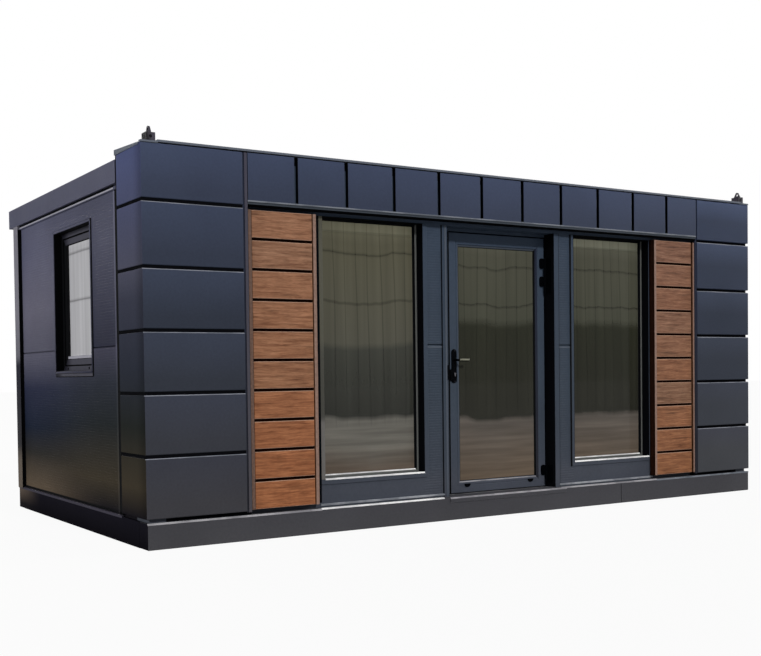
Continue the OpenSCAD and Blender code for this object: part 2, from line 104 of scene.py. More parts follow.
LEFT_X, RIGHT_X = BOX["cassettes_left"][0].x, BOX["cassettes_right"][1].x
FRONT_Y = BOX["cassettes_left"][0].y
RETURN_Y = BOX["cassettes_left"][1].y
WALL_Y, ROOM_Y = BOX["front_piers"][0].y, BOX["front_piers"][1].y
WALL_X, ROOM_X = BOX["left_wall_lower"][0].x, BOX["left_wall_lower"][1].x
POST_Y = BOX["rear_posts"][0].y
REAR_IN = BOX["rear_wall_lower"][0].y
BASE_Z = BOX["rear_posts"][0].z
JOINT_Z = BOX["left_wall_lower"][1].z
WALL_TOP = BOX["left_wall_upper"][1].z
LINTEL_Z = BOX["front_piers"][1].z
PIERS = islands("front_piers")
PANES = islands("window_glass")
SIDE_PANES, FRONT_PANES = (PANES[0], PANES[3]), (PANES[1], PANES[2])
SHADE_Z = FRONT_PANES[0][1].z - 60 * MM  # the lintel's shadow on the front panes ends here
FRAME_W = 26 * MM  # width of a front window's frame inside its opening
FLANGE, FLANGE_T = 37 * MM, 6 * MM  # how far its flange laps the wall, and how thick it is
LEAF = BOX["door_leaf"]
DOOR_GLASS = BOX["door_glass"]
DOOR_FRAME = BOX["door_frame"]
PANELS = [(low, high) for low, high in islands("timber_frames") if high.x - low.x > 300 * MM]
ROOF = BOX["roof_panel"]
HEADER = BOX["cassettes_header"]
COURSES = sorted((low.z, high.z) for low, high in islands("cassettes_left"))


# ---------------------------------------------------------------- colours and materials
TOP_Z = 2.7  # height that the tone drifts are stretched over


def srgb(r, g, b):
    """A colour as it looks on screen, 0 to 255, as linear numbers."""
    def lin(c):
        c /= 255
        return c / 12.92 if c <= 0.04045 else ((c + 0.055) / 1.055) ** 2.4
    return (lin(r), lin(g), lin(b))


class Graph:
    """A node tree, with short ways to add to it."""

    def __init__(self, tree):
        self.nodes, self.links = tree.nodes, tree.links

    def fill(self, node, inputs):
        """Gives a node its inputs: each is a value or another node's output."""
        for key, value in inputs.items():
            if isinstance(value, bpy.types.NodeSocket):
                self.links.new(value, node.inputs[key])
            else:
                node.inputs[key].default_value = value

    def node(self, kind, inputs, output=0, **settings):
        node = self.nodes.new("ShaderNode" + kind)
        for key, value in settings.items():
            setattr(node, key, value)
        self.fill(node, inputs)
        return node.outputs[output]

    def math(self, operation, one, two):
        return self.node("Math", {0: one, 1: two}, operation=operation)

    def span(self, source, low, high, start=0.0, end=1.0, **settings):
        """A value that goes from low to high as the source goes from start to end."""
        return self.node("MapRange", {"Value": source, "From Min": start, "From Max": end,
                                      "To Min": low, "To Max": high}, **settings)

    def noise(self, place, scale, detail=4, stretch=None):
        if stretch:
            place = self.node("Mapping", {"Vector": place, "Scale": stretch})
        return self.node("TexNoise", {"Vector": place, "Scale": scale, "Detail": detail}, "Fac")

    def axis(self, place, name):
        return self.node("SeparateXYZ", {0: place}, name)

    def added(self, one, two):
        return self.node("VectorMath", {0: one, 1: two}, operation="ADD")

    def tinted(self, colour, tint):
        return self.node("VectorMath", {0: colour, 1: tint}, operation="MULTIPLY")

    def scaled(self, colour, *factors):
        for factor in factors:
            colour = self.node("VectorMath", {0: colour, "Scale": factor}, operation="SCALE")
        return colour

    def ramp(self, factor, stops):
        node = self.nodes.new("ShaderNodeValToRGB")
        elements = node.color_ramp.elements
        while len(elements) < len(stops):
            elements.new(0.5)
        for element, (place, colour) in zip(elements, stops):
            element.position = place
            element.color = (*colour, 1)
        self.links.new(factor, node.inputs[0])
        return node.outputs["Color"]

    def by_height(self, place, stops):
        """A colour that changes with height; stops are (height in metres, linear colour)."""
        return self.ramp(self.span(self.axis(place, "Z"), 0, 1, 0, TOP_Z),
                         [(z / TOP_Z, colour) for z, colour in stops])

    def by_depth(self, place, low, high, start, end):
        """A smooth value from low to high, start and end metres behind the front of the unit."""
        return self.span(self.axis(place, "Y"), low, high, FRONT_Y + start, FRONT_Y + end,
                         interpolation_type="SMOOTHSTEP")


class Finish(Graph):
    """A material of its own: surface() sets its shader."""

    def __init__(self, name):
        self.mat = bpy.data.materials.new(name)
        self.mat.use_nodes = True
        super().__init__(self.mat.node_tree)
        self.place = self.node("TexCoord", {}, "Object")

    def surface(self, colour, rough, level, relief=None, strength=0.1, **more):
        """relief is the height of the bump and strength is how much of it shows."""
        inputs = {"Base Color": colour, "Roughness": rough, "Specular IOR Level": level, **more}
        if relief:
            inputs["Normal"] = self.node("Bump", {"Strength": strength, "Distance": 1 * MM,
                                                  "Height": relief})
        self.fill(self.nodes["Principled BSDF"], inputs)
        return self.mat


def paint(name, stops, rough=0.45, level=0.2, far=None, reach=(0.8, 2.6), corner=None):
    """Powder-coated steel: a tone that drifts with height, faint clouds, orange peel and dust.
    The height drift is painted light, painted reflection and painted shade. far is a second drift for
    the back of a side, painted reflection that changes along the side; the corner argument darkens
    it towards the front corner, a painted shade."""
    g = Finish(name)
    colour = g.by_height(g.place, stops)
    if far:
        colour = g.node("Mix", {0: g.by_depth(g.place, 0, 1, *reach), 6: colour,
                                7: g.by_height(g.place, far)}, 2, data_type="RGBA")
    if corner:
        colour = g.scaled(colour, g.by_depth(g.place, corner, 1, -0.02, 0.17))
    clouds = g.span(g.noise(g.place, 1.7, 6), 0.93, 1.07, 0.3, 0.7)
    dust = g.span(g.noise(g.place, 55, 8), 0.94, 1.06, 0.3, 0.7)
    gloss = g.span(g.noise(g.place, 9, 6), rough - 0.06, rough + 0.08)
    return g.surface(g.scaled(colour, clouds, dust), gloss, level, g.noise(g.place, 420, 2), 0.05)


def wood(name, dark, mid, light, foot=(1, 1, 1), crown=(1, 1, 1)):
    """Oiled boards: long grain and pores along x, with a new stretch of tree for each board.
    The tone drifts from the foot tint low down to the crown tint near the top."""
    g = Finish(name)
    seed = g.nodes.new("ShaderNodeAttribute")
    seed.attribute_name = "board"
    seed = seed.outputs["Vector"]
    place = g.added(g.place, seed)
    grain = g.node("TexNoise", {"Vector": g.node("Mapping", {"Vector": place, "Scale": (4.6, 56, 66)}),
                                "Scale": 1.0, "Detail": 8, "Roughness": 0.62, "Distortion": 0.6}, "Fac")
    fine = g.noise(place, 1.0, 6, (26, 210, 260))
    pores = g.span(fine, 0.86, 1.12, 0.36, 0.64)
    streak = g.span(g.noise(place, 1.0, 6, (2.8, 30, 42)), 0.68, 1.0, 0.3, 0.42)
    blotch = g.span(g.noise(place, 9, 5), 0.9, 1.07, 0.3, 0.7)
    hue = g.ramp(g.noise(seed, 3.1, 0), [(0.38, (1.03, 0.9, 0.8)), (0.5, (0.97, 0.96, 0.95)),
                                         (0.62, (0.86, 0.92, 0.98))])
    colour = g.scaled(g.ramp(grain, [(0.3, dark), (0.5, mid), (0.7, light)]), pores, streak, blotch)
    colour = g.tinted(g.tinted(colour, hue), g.by_height(g.place, [(0.25, foot), (2.2, crown)]))
    return g.surface(colour, g.span(fine, 0.5, 0.72), 0.12, fine, 0.25)


def plain(name, colour, rough, metal=0.0, level=0.5, spread=0.1, scale=30):
    """A small-part finish: one tone with fine mottling, uneven gloss and a bump."""
    g = Finish(name)
    mottle = g.noise(g.place, scale, 5)
    tone = g.ramp(mottle, [(0.3, tuple(c * (1 - spread) for c in colour)),
                           (0.7, tuple(min(1, c * (1 + spread)) for c in colour))])
    return g.surface(tone, g.span(mottle, rough - 0.05, rough + 0.05), level, mottle, 0.08,
                     Metallic=metal)


def worn_strip(name, bright, dull, rough=0.4):
    """Pale edging in two tones that change in stretches along it: worn metal on the threshold and the
    flashing, and painted highlights, broken in stretches, on the cassette, lip, ledge and bead edges and
    on the lugs and screws.
    """
    g = Finish(name)
    patches = g.noise(g.place, 1.0, 5, (5, 3, 3))
    return g.surface(g.ramp(patches, [(0.42, dull), (0.55, bright)]),
                     g.span(patches, rough + 0.1, rough - 0.05), 0.3, g.noise(g.place, 90, 4))


def glass(name, stops, alpha, level, depth=0.1, waves=0.03, uprights=0.0, crown=None):
    """Tinted double glazing. Its tones are painted reflections of surroundings: a drift with height,
    soft upright bands above and level streaks near the foot; depth is how strong they are, waves how
    much they bend, and uprights how dark the thin lines between the bands are. crown is the height
    above which the lintel shades the pane, and how much paler it is painted there, painted light over that
    shadow."""
    g = Finish(name)
    waver = g.span(g.noise(g.place, 1.0, 3, (2.5, 2.5, 0.8)), -waves, waves, 0.3, 0.7)
    colour = g.by_height(g.added(g.place, g.node("CombineXYZ", {"Z": waver})), stops)
    upright = g.span(g.noise(g.place, 1.0, 4, (13, 13, 0.45)), 1 - depth, 1 + depth, 0.35, 0.65)
    streak = g.span(g.noise(g.place, 1.0, 6, (1.2, 1.2, 24)), 1 - 2.4 * depth, 1 + 1.6 * depth,
                    0.32, 0.68)
    if uprights:
        phase = g.span(g.noise(g.place, 1.0, 2, (3.1, 3.1, 0.35)), 0, 1.4)
        spot = g.node("Math", {0: g.axis(g.place, "X"), 1: 9.5, 2: phase}, operation="MULTIPLY_ADD")
        line = g.span(g.math("PINGPONG", spot, 0.5), 1 - uprights, 1, 0.01, 0.07)
        upright = g.math("MULTIPLY", upright, line)
    height = g.axis(g.place, "Z")
    colour = g.scaled(colour, g.node("Mix", {0: g.span(height, 0, 1, 0.72, 0.86), 2: streak,
                                             3: upright}))
    if crown:
        edge, gain = crown
        colour = g.scaled(colour, g.span(height, 1, gain, edge - 8 * MM, edge + 10 * MM))
    return g.surface(colour, g.span(g.noise(g.place, 4, 3), 0.03, 0.06), level, Alpha=alpha)


def drift(*stops):
    """Stops given as (height in metres, red, green, blue), each colour as it looks on screen."""
    return [(z, srgb(*tone)) for z, *tone in stops]


def even(r, g, b):
    return drift((0.0, r, g, b), (TOP_Z, r, g, b))


SIDE_LIGHT = 0.76  # share of full light that falls on the left and right sides


def sided(stops, sheen=0.0):
    """Tones as they should look on a side of the unit, turned into the paint that looks so."""
    return [(z, tuple(max(0.002, (c - sheen) / SIDE_LIGHT) for c in colour)) for z, colour in stops]


def mixed(one, two, part):
    return tuple(a + (b - a) * part for a, b in zip(one, two))


def courses(low, middle, high, hold):
    """Each course of cassettes keeps its foot tone for a share hold of its height, then fades to its
    crown tone, a painted shading on each course. The pair of tones drifts from low through middle to
    high up the column, a painted reflection that is bluer higher up."""
    stops = []
    for i, (z0, z1) in enumerate(COURSES):
        place = 2 * i / (len(COURSES) - 1)
        one, two, part = (low, middle, place) if place < 1 else (middle, high, place - 1)
        foot, crown = (srgb(*mixed(a, b, part)) for a, b in zip(one, two))
        stops += [(z0, foot), (z0 + hold * (z1 - z0), foot), (z1, crown)]
    return stops


def wired(stops, heights, share):
    """The same drift, crossed at some heights by thin lines of painted reflection; share is how bright a
    line is.
    """
    reach = 13 * MM
    lines = []
    for z in heights:
        z0, one = max(stop for stop in stops if stop[0] < z)
        z1, two = min(stop for stop in stops if stop[0] > z)
        tone = mixed(one, two, (z - z0) / (z1 - z0))
        lines += [(z - reach, tone), (z, tuple(c * share for c in tone)), (z + reach, tone)]
    return sorted(stops + lines)


# Painted light: the cassettes' tones copy the shading and reflection on them, per course and up the column.
# The right column has a second, differently lit copy.
FRONT_COURSES = courses(((60, 60, 65), (56, 58, 68)), ((45, 50, 61), (57, 64, 81)),
                        ((54, 61, 80), (62, 71, 95)), 0.2)
RIGHT_COURSES = courses(((62, 64, 69), (61, 63, 73)), ((43, 49, 62), (54, 61, 77)),
                        ((47, 56, 77), (66, 77, 105)), 0.5)
# Painted reflection on the sides: brown ground near the foot, then a dark band, and a paler blue sky higher
# up; the far drifts are the same towards the back of a side, and the rear posts take it too.
SIDE_COURSES = drift((0.2, 28, 27, 31), (0.4, 57, 52, 44), (0.8, 37, 39, 38), (1.2, 44, 47, 56),
                     (1.65, 55, 57, 69), (1.85, 71, 72, 86), (2.6, 69, 75, 105))
SIDE_LOW = drift((0.2, 30, 29, 32), (0.4, 57, 52, 44), (0.8, 38, 41, 43), (1.1, 46, 49, 57),
                 (1.34, 63, 63, 76))
SIDE_LOW_FAR = drift((0.23, 84, 74, 63), (0.5, 45, 44, 43), (0.72, 32, 37, 49), (1.05, 44, 47, 64),
                     (1.31, 82, 82, 96))
SIDE_HIGH = drift((1.4, 55, 56, 67), (2.1, 78, 79, 93))
SIDE_HIGH_FAR = drift((1.36, 85, 85, 98), (1.7, 98, 97, 111), (2.2, 86, 87, 104))
POST_SIDE = drift((0.42, 87, 79, 71), (0.55, 38, 37, 40), (1.25, 31, 32, 42), (1.33, 90, 90, 98),
                  (1.7, 108, 107, 116))
POST_BACK = [BOX["rear_posts"][1].y - FRONT_Y - inset * MM for inset in (4, 1)]
# Painted light on the front panels and frames: paler low down and bluer higher up. The leaf's tones are a
# lighter copy of the same drift, painted light.
FRAME_TONE = drift((0.3, 66, 70, 80), (0.42, 60, 66, 77), (1.0, 56, 65, 77), (2.2, 55, 66, 82))
LEAF_TONE = [(z, tuple(c * 1.2 for c in tone)) for z, tone in FRAME_TONE]
# The rear walls get painted light of the same kind: darker low down, paler and bluer higher up.
REAR_LOW = drift((0.2, 61, 58, 60), (0.7, 54, 55, 62), (1.31, 70, 71, 85))
REAR_HIGH = drift((1.36, 76, 77, 91), (2.0, 82, 84, 99))
# Painted reflection on the strip beside the left window, in the same bands as the pane next to it.
BEAD_TONE = drift((0.78, 104, 102, 100), (0.83, 68, 68, 64), (1.3, 76, 76, 70), (1.38, 86, 85, 75))
# The edge strips beside the returns take the sides' painted reflection, painted paler above the panel
# joint.
EDGE_TONE = [(z, tuple(c * (1.0 if z < 1.2 else 1.35) for c in tone))
             for z, tone in SIDE_LOW + SIDE_HIGH]
# Painted reflection on a pane: pale ground low down, a dark middle and a paler upper part with thin
# lines across it.
PANE_TONE = wired(drift((0.3, 107, 93, 79), (0.75, 99, 93, 87), (0.79, 46, 46, 40), (1.5, 49, 50, 40),
                        (1.57, 77, 78, 67), (2.08, 84, 84, 72), (2.19, 97, 97, 84)), (1.675, 1.98), 0.5)
LEFT_PANE_TONE = wired(drift((0.42, 98, 87, 77), (0.6, 114, 111, 104), (0.79, 110, 108, 102),
                             (0.83, 51, 52, 48), (1.33, 68, 69, 63), (1.38, 89, 88, 78),
                             (2.12, 94, 92, 76), (2.2, 105, 103, 86)), (1.682, 2.047), 0.5)
# The side panes are painted pale with thin lines across them, a painted reflection.
SIDE_PANE_TONE = wired(drift((1.29, 188, 188, 192), (1.32, 162, 162, 166), (2.15, 163, 163, 167),
                             (2.2, 176, 176, 180)), (1.742, 2.112), 0.36)


MAT, SLOT = {}, {}


def finishes(slot, **mats):
    """Materials for pieces of one slot of the record."""
    MAT.update(mats)
    SLOT.update(dict.fromkeys(mats, slot))


finishes(
    "cassette_paint",
    cassette=paint("cassette_paint", FRONT_COURSES, level=0.08),
    cassette_right=paint("cassette_right_paint", RIGHT_COURSES, level=0.08),
    # The returns take the sides' painted reflection, with a painted shade towards the front corner.
    cassette_side=paint("cassette_side_paint", sided(SIDE_COURSES, 0.006), 0.55, 0.01, corner=0.6),
    edge_light=worn_strip("cassette_edge_paint", srgb(124, 127, 138), srgb(98, 102, 112), 0.5),
    edge_dark=paint("cassette_return_paint", drift((0.3, 42, 43, 50), (2.5, 42, 48, 66)), level=0.05),
    strip=paint("column_strip_paint", drift((0.3, 72, 70, 76), (2.5, 68, 67, 80)), level=0.08))
finishes(
    "panel_paint",
    panel=paint("front_panel_paint", FRAME_TONE, level=0.1),
    side_low=paint("side_panel_low_paint", sided(SIDE_LOW, 0.006), 0.5, 0.01,
                   far=sided(SIDE_LOW_FAR, 0.006)),
    side_high=paint("side_panel_high_paint", sided(SIDE_HIGH, 0.02), level=0.04,
                    far=sided(SIDE_HIGH_FAR, 0.02)),
    rear_low=paint("rear_panel_low_paint", sided(REAR_LOW), level=0.03),
    rear_high=paint("rear_panel_high_paint", sided(REAR_HIGH), level=0.04),
    side_edge=paint("side_edge_paint", sided(EDGE_TONE), level=0.02),
    side_light=paint("side_light_paint", sided(even(140, 140, 150)), level=0.1),
    post_side=paint("rear_post_side_paint", sided(POST_SIDE), level=0.02,
                    far=sided(REAR_LOW + REAR_HIGH), reach=POST_BACK),
    lip_face=paint("header_lip_paint", even(58, 64, 72), level=0.1),
    lip_edge=worn_strip("lip_edge_metal", srgb(114, 119, 128), srgb(88, 94, 104)),
    flashing=worn_strip("sill_flashing_metal", srgb(150, 153, 160), srgb(112, 116, 124)),
    fascia=paint("fascia_paint", sided(even(86, 87, 101), 0.03), level=0.06),
    cap=paint("parapet_cap_paint", even(92, 98, 109), level=0.12),
    lining=plain("wall_lining", srgb(196, 194, 188), 0.6, level=0.2, spread=0.03))
finishes(
    "frame_paint",
    frame=paint("frame_paint", FRAME_TONE, level=0.1),
    frame_edge=paint("frame_edge_paint", even(76, 83, 94), level=0.1),
    frame_light=paint("frame_light_paint", even(92, 94, 93), level=0.15),
    leaf=paint("leaf_paint", LEAF_TONE, level=0.1),
    bead=paint("glazing_bead_paint", BEAD_TONE, level=0.1),
    # The side windows' frames are painted darker towards the back, a painted shade.
    side_frame=paint("side_frame_paint", sided(even(64, 64, 73)), level=0.03,
                     far=sided(even(28, 28, 36)), reach=(1.72, 1.9)))
finishes(
    "base_paint",
    base=paint("base_paint", drift((0.02, 69, 69, 73), (0.16, 67, 67, 72)), 0.6, 0.03),
    # The base's sides are painted very dark, with a painted reflection of brown ground towards the back.
    base_side=paint("base_side_paint", sided(drift((0.02, 13, 12, 17), (0.16, 19, 18, 25))), 0.6, 0.005,
                    far=sided(drift((0.04, 27, 26, 28), (0.1, 66, 58, 52), (0.165, 88, 78, 70))),
                    reach=(2.35, 3.1)),
    side_ledge=paint("side_ledge_paint", sided(even(54, 52, 62)), level=0.02))
finishes(
    "hardware_black",
    # The pale stretches on the lugs and the handle's screws are a painted highlight.
    lug=worn_strip("lifting_lug_paint", srgb(66, 62, 74), srgb(18, 17, 22), 0.35),
    hardware=plain("black_hardware", srgb(2, 3, 6), 0.55, level=0.02),
    lever=plain("satin_lever", srgb(118, 118, 104), 0.35, level=0.3))
finishes(
    "backing",
    black=plain("black_backing", srgb(6, 7, 11), 0.8, level=0.03),
    gasket=plain("black_gasket", srgb(8, 9, 12), 0.65, level=0.05))
finishes(
    "threshold_metal",
    steel=plain("bright_steel", srgb(122, 120, 128), 0.35, metal=0.5),
    bright=worn_strip("pale_edge_metal", srgb(250, 250, 251), srgb(214, 214, 217)),
    dull=worn_strip("dull_edge_metal", srgb(164, 163, 168), srgb(128, 127, 133)),
    threshold=worn_strip("threshold_metal", srgb(134, 135, 138), srgb(96, 97, 101)))
finishes(
    "timber",
    wood=wood("timber", srgb(106, 70, 50), srgb(143, 104, 79), srgb(164, 124, 97),
              foot=(1.0, 0.84, 0.7), crown=(0.98, 0.97, 1.0)),
    # The right panel has its own copy of the timber, darker and bluer near the top: painted light.
    wood_right=wood("timber_right", srgb(100, 66, 47), srgb(141, 102, 78), srgb(164, 124, 97),
                    foot=(0.9, 0.84, 0.74), crown=(0.76, 0.84, 1.02)),
    wood_edge=plain("timber_board_edge", srgb(168, 132, 112), 0.6, level=0.1, spread=0.2, scale=50),
    wood_trim=plain("timber_trim", srgb(134, 109, 98), 0.6, level=0.1, spread=0.2, scale=50),
    wood_dark=plain("timber_trim_dark", srgb(104, 82, 72), 0.6, level=0.1, spread=0.2, scale=50),
    wood_gap=plain("timber_shadow_gap", srgb(30, 14, 8), 0.8, level=0.03, spread=0.3, scale=40),
    wood_side=plain("timber_trim_side", srgb(110, 76, 56), 0.7, level=0.05, spread=0.3, scale=40))
finishes("roof_sheet", roof=paint("roof_sheet", even(88, 90, 94), 0.5, 0.12))
finishes("floor", floor=wood("floor_covering", srgb(104, 90, 74), srgb(138, 124, 104),
                             srgb(160, 146, 126)))
finishes(
    "glass",
    glass=glass("tinted_glass", PANE_TONE, 0.9, 0.2, uprights=0.3, crown=(SHADE_Z, 4.2)),
    glass_left=glass("tinted_glass_left", LEFT_PANE_TONE, 0.9, 0.2, uprights=0.3,
                     crown=(SHADE_Z, 3.4)),
    pale_glass=glass("pale_glass", sided(SIDE_PANE_TONE), 0.97, 0.05, depth=0.12, waves=0.003))


# ---------------------------------------------------------------- mesh helpers
def soften(obj, width, segments=2):
    mod = obj.modifiers.new("edges", "BEVEL")
    mod.width = width
    mod.segments = segments
    mod.limit_method = "ANGLE"
    mod.angle_limit = math.radians(35)
    mod.harden_normals = True


def fold_edges(bm, width, segments=2):
    """Rounds every sharp edge in the mesh itself, so that faces can be told apart by their slant."""
    bmesh.ops.recalc_face_normals(bm, faces=bm.faces)
    sharp = [e for e in bm.edges if e.calc_face_angle(0) > math.radians(35)]
    bmesh.ops.bevel(bm, geom=sharp, offset=width, offset_type="OFFSET", segments=segments,
                    profile=0.5, affect="EDGES", clamp_overlap=True)


def repaint(obj, mat, wanted):
    """Gives a second material to the faces that wanted(normal, centre) picks."""
    mesh = obj.data
    mesh.materials.append(MAT[mat])
    index = len(mesh.materials) - 1
    for face in mesh.polygons:
        if wanted(face.normal, face.center):
            face.material_index = index


def weigh_normals(obj):
    obj.data.shade_smooth()
    mod = obj.modifiers.new("normals", "WEIGHTED_NORMAL")
    mod.weight = 100
    mod.keep_sharp = True


def dress(node, mat, bevel=0.0015):
    """A CAD node that stays: its material and softened edges."""
    obj = NODES[node]
    obj.data.materials.clear()
    obj.data.materials.append(MAT[mat])
    if bevel:
        soften(obj, bevel)


def near(base, start, end):
    """Two places, start and end millimetres beyond base."""
    return base + start * MM, base + end * MM


def box(bm, x0, x1, y0, y1, z0, z1):
    size = Matrix.Diagonal((x1 - x0, y1 - y0, z1 - z0, 1))
    middle = Matrix.Translation(((x0 + x1) / 2, (y0 + y1) / 2, (z0 + z1) / 2))
    return bmesh.ops.create_cube(bm, size=1, matrix=middle @ size)["verts"]


def prism(bm, outline, axis, start, end):
    """A closed solid: a 2-D outline pushed along x, y or z."""
    def at(p, t):
        a, b = p
        return {"x": (t, a, b), "y": (a, t, b), "z": (a, b, t)}[axis]
    ends = [[bm.verts.new(at(p, t)) for p in outline] for t in (start, end)]
    bm.faces.new(ends[0])
    bm.faces.new(list(reversed(ends[1])))
    for i in range(len(outline)):
        j = (i + 1) % len(outline)
        bm.faces.new((ends[0][j], ends[0][i], ends[1][i], ends[1][j]))
    return ends[0] + ends[1]


def shrink(outline, amount):
    """The outline moved in towards its middle by amount on every side."""
    a = (min(p[0] for p in outline) + max(p[0] for p in outline)) / 2
    b = (min(p[1] for p in outline) + max(p[1] for p in outline)) / 2
    wide = (max(p[0] for p in outline) - min(p[0] for p in outline)) / 2
    tall = (max(p[1] for p in outline) - min(p[1] for p in outline)) / 2
    return [(a + (p[0] - a) * (1 - amount / wide), b + (p[1] - b) * (1 - amount / tall))
            for p in outline]


def skin(bm, loops):
    """Faces between each closed loop of vertices and the next."""
    for loop, after in zip(loops, loops[1:]):
        for i in range(len(loop)):
            j = (i + 1) % len(loop)
            bm.faces.new((loop[i], loop[j], after[j], after[i]))


def circle(a, b, radius, sides):
    return [(a + radius * math.cos(2 * math.pi * i / sides),
             b + radius * math.sin(2 * math.pi * i / sides)) for i in range(sides)]


def rod(bm, a, b, axis, radius, start, end, sides=28):
    return prism(bm, circle(a, b, radius, sides), axis, start, end)


def round_rect(a0, a1, b0, b1, radius, steps=4):
    points = []
    for a, b, turn in ((a1, b1, 0), (a0, b1, 1), (a0, b0, 2), (a1, b0, 3)):
        ca = a - radius if a == a1 else a + radius
        cb = b - radius if b == b1 else b + radius
        for i in range(steps + 1):
            angle = math.pi / 2 * (turn + i / steps)
            points.append((ca + radius * math.cos(angle), cb + radius * math.sin(angle)))
    return points


def ring(bm, plane, rect, base, profile, way=1):
    """A closed frame. The profile's points are (inset from rect, depth beyond base, corner radius),
    in mm; depth grows with the axis where way is 1 and against it where way is -1."""
    a0, a1, b0, b1 = rect
    loops = []
    for inset, depth, radius in profile:
        inset, depth, radius = inset * MM, base + way * depth * MM, max(radius, 0.4) * MM
        outline = round_rect(a0 + inset, a1 - inset, b0 + inset, b1 - inset, radius)
        loops.append([bm.verts.new((a, depth, b) if plane == "y" else (depth, a, b))
                      for a, b in outline])
    skin(bm, loops + loops[:1])


def piece(name, bm, mat, body="root", stands_for=(), bevel=0.0, segments=2, smooth=False):
    bmesh.ops.recalc_face_normals(bm, faces=bm.faces)
    mesh = bpy.data.meshes.new(name)
    bm.to_mesh(mesh)
    bm.free()
    obj = bpy.data.objects.new(name, mesh)
    bpy.context.scene.collection.objects.link(obj)
    mesh.materials.append(MAT[mat])
    if smooth:
        mesh.shade_smooth()
    if bevel:
        soften(obj, bevel, segments)
    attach(obj, body)
    if stands_for:
        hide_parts(*stands_for)
    return obj


def boxes(name, mat, solids, **rest):
    bm = bmesh.new()
    for solid in solids:
        box(bm, *solid)
    return piece(name, bm, mat, **rest)


def mirrored(solids):
    """The same boxes and their twins on the other side of the unit."""
    return list(solids) + [(-x1, -x0, *rest) for x0, x1, *rest in solids]


# ---------------------------------------------------------------- cladding
RETURN_DROP = 12 * MM  # how much lower the cladding ends on the sides than at the front
SHEET = 30 * MM  # depth of a cassette
CLOSER = 22 * MM  # depth of the profile that closes the rear edge of a column
OPEN_JOINT, FOOT_JOINT = 4 * MM, 6 * MM  # what a cassette's foot is lifted to open its joint


def up_edge(normal, centre):
    return 0.2 < normal.z < 0.95


def column(name, node):
    """Six cassettes that fold round a front corner, and the profile that closes their rear edge."""
    bm, fill = bmesh.new(), bmesh.new()
    rows = sorted(islands(node), key=lambda b: b[0].z)
    side = 1 if node.endswith("left") else -1
    for low, high in rows:
        outer, inner = (low.x, high.x) if side > 0 else (high.x, low.x)
        back = high.y - CLOSER
        foot = low.z + (OPEN_JOINT if low.z > rows[0][0].z else FOOT_JOINT)
        outline = [(outer, low.y), (inner, low.y), (inner, low.y + SHEET),
                   (outer + side * SHEET, low.y + SHEET), (outer + side * SHEET, back),
                   (outer, back)]
        verts = prism(bm, outline, "z", foot, high.z)
        if high.z == rows[-1][1].z:
            for v in verts:
                if v.co.z == high.z and v.co.y > low.y + SHEET / 2:
                    v.co.z -= RETURN_DROP
        else:
            inset = (5 if side > 0 else 17) * MM
            prism(fill, [(outer + side * inset, low.y + inset), (inner - side * 2 * MM, low.y + inset),
                         (inner - side * 2 * MM, low.y + SHEET),
                         (outer + side * SHEET, low.y + SHEET), (outer + side * SHEET, back),
                         (outer + side * inset, back)], "z", *near(high.z, -8, 24))
    fold_edges(bm, 6 * MM, 3)
    obj = piece(name, bm, "cassette" if side > 0 else "cassette_right", stands_for=(node,))
    top = rows[-1][1].z - 40 * MM
    repaint(obj, "cassette_side", lambda n, c: abs(n.x) > 0.6)
    # The rounded top edges of the courses, all but the top one, get a painted highlight.
    repaint(obj, "edge_light", lambda n, c: up_edge(n, c) and n.y < -0.2 and c.z < top)
    # The column's side facing the groove is painted dark, a painted shade.
    repaint(obj, "edge_dark", lambda n, c: side * n.x > 0.6 and abs(c.x - inner) < 4 * MM)
    weigh_normals(obj)
    piece(name + "_joint_backs", fill, "black")
    low, high = rows[0][0], rows[-1][1]
    outer = low.x if side > 0 else high.x
    ends = sorted((outer + side * 3 * MM, outer + side * SHEET))
    boxes(name + "_closer", "gasket", [(*ends, high.y - CLOSER, high.y, low.z, high.z - RETURN_DROP)],
          bevel=0.002)


column("cladding_left", "cassettes_left")
column("cladding_right", "cassettes_right")
bm = bmesh.new()
for low, high in islands("cassettes_header"):
    box(bm, low.x, high.x, low.y, high.y, low.z, high.z)
fold_edges(bm, 5 * MM, 3)
header = piece("cladding_header", bm, "cassette", stands_for=("cassettes_header",))
# The cassettes' side faces in the joints are painted black, a painted shade.
repaint(header, "black", lambda n, c: abs(n.x) > 0.6)
weigh_normals(header)

GROOVE_X = BOX["cassettes_left"][1].x
HEADER_X, HEADER_END = HEADER[0].x, HEADER[1].x
CASSETTE_Z0, CASSETTE_Z1 = BOX["cassettes_left"][0].z, HEADER[1].z
GROOVE_Z = (CASSETTE_Z0, CASSETTE_Z1 - 2 * MM)
boxes("column_edge_strip", "strip", [(*near(HEADER_X, -25, -2), *near(FRONT_Y, 0.5, 20), *GROOVE_Z)],
      bevel=0.002)
# The grooves beside the columns are lined with a painted shade.
boxes("column_edge_groove", "edge_dark", [
    (GROOVE_X - 1 * MM, HEADER_X - 24 * MM, *near(FRONT_Y, 7, 22), *GROOVE_Z),
    (HEADER_END - 1 * MM, BOX["cassettes_right"][0].x + 1 * MM, *near(FRONT_Y, 9, 24), *GROOVE_Z)])

LIP = BOX["header_lip"]
bm = bmesh.new()
prism(bm, [(LIP[0].y - 1 * MM, LIP[1].z), (LIP[1].y, LIP[1].z),
           (LIP[1].y, LIP[0].z), (LIP[1].y - 4 * MM, LIP[0].z),
           (LIP[0].y + 3 * MM, LIP[1].z - 19 * MM), (LIP[0].y - 1 * MM, LIP[1].z - 16 * MM)],
      "x", LIP[0].x, LIP[1].x)
drip = piece("header_drip_edge", bm, "lip_face", stands_for=("header_lip",))
# Its underside is painted black, a painted shade.
repaint(drip, "black", lambda n, c: n.z < -0.1)
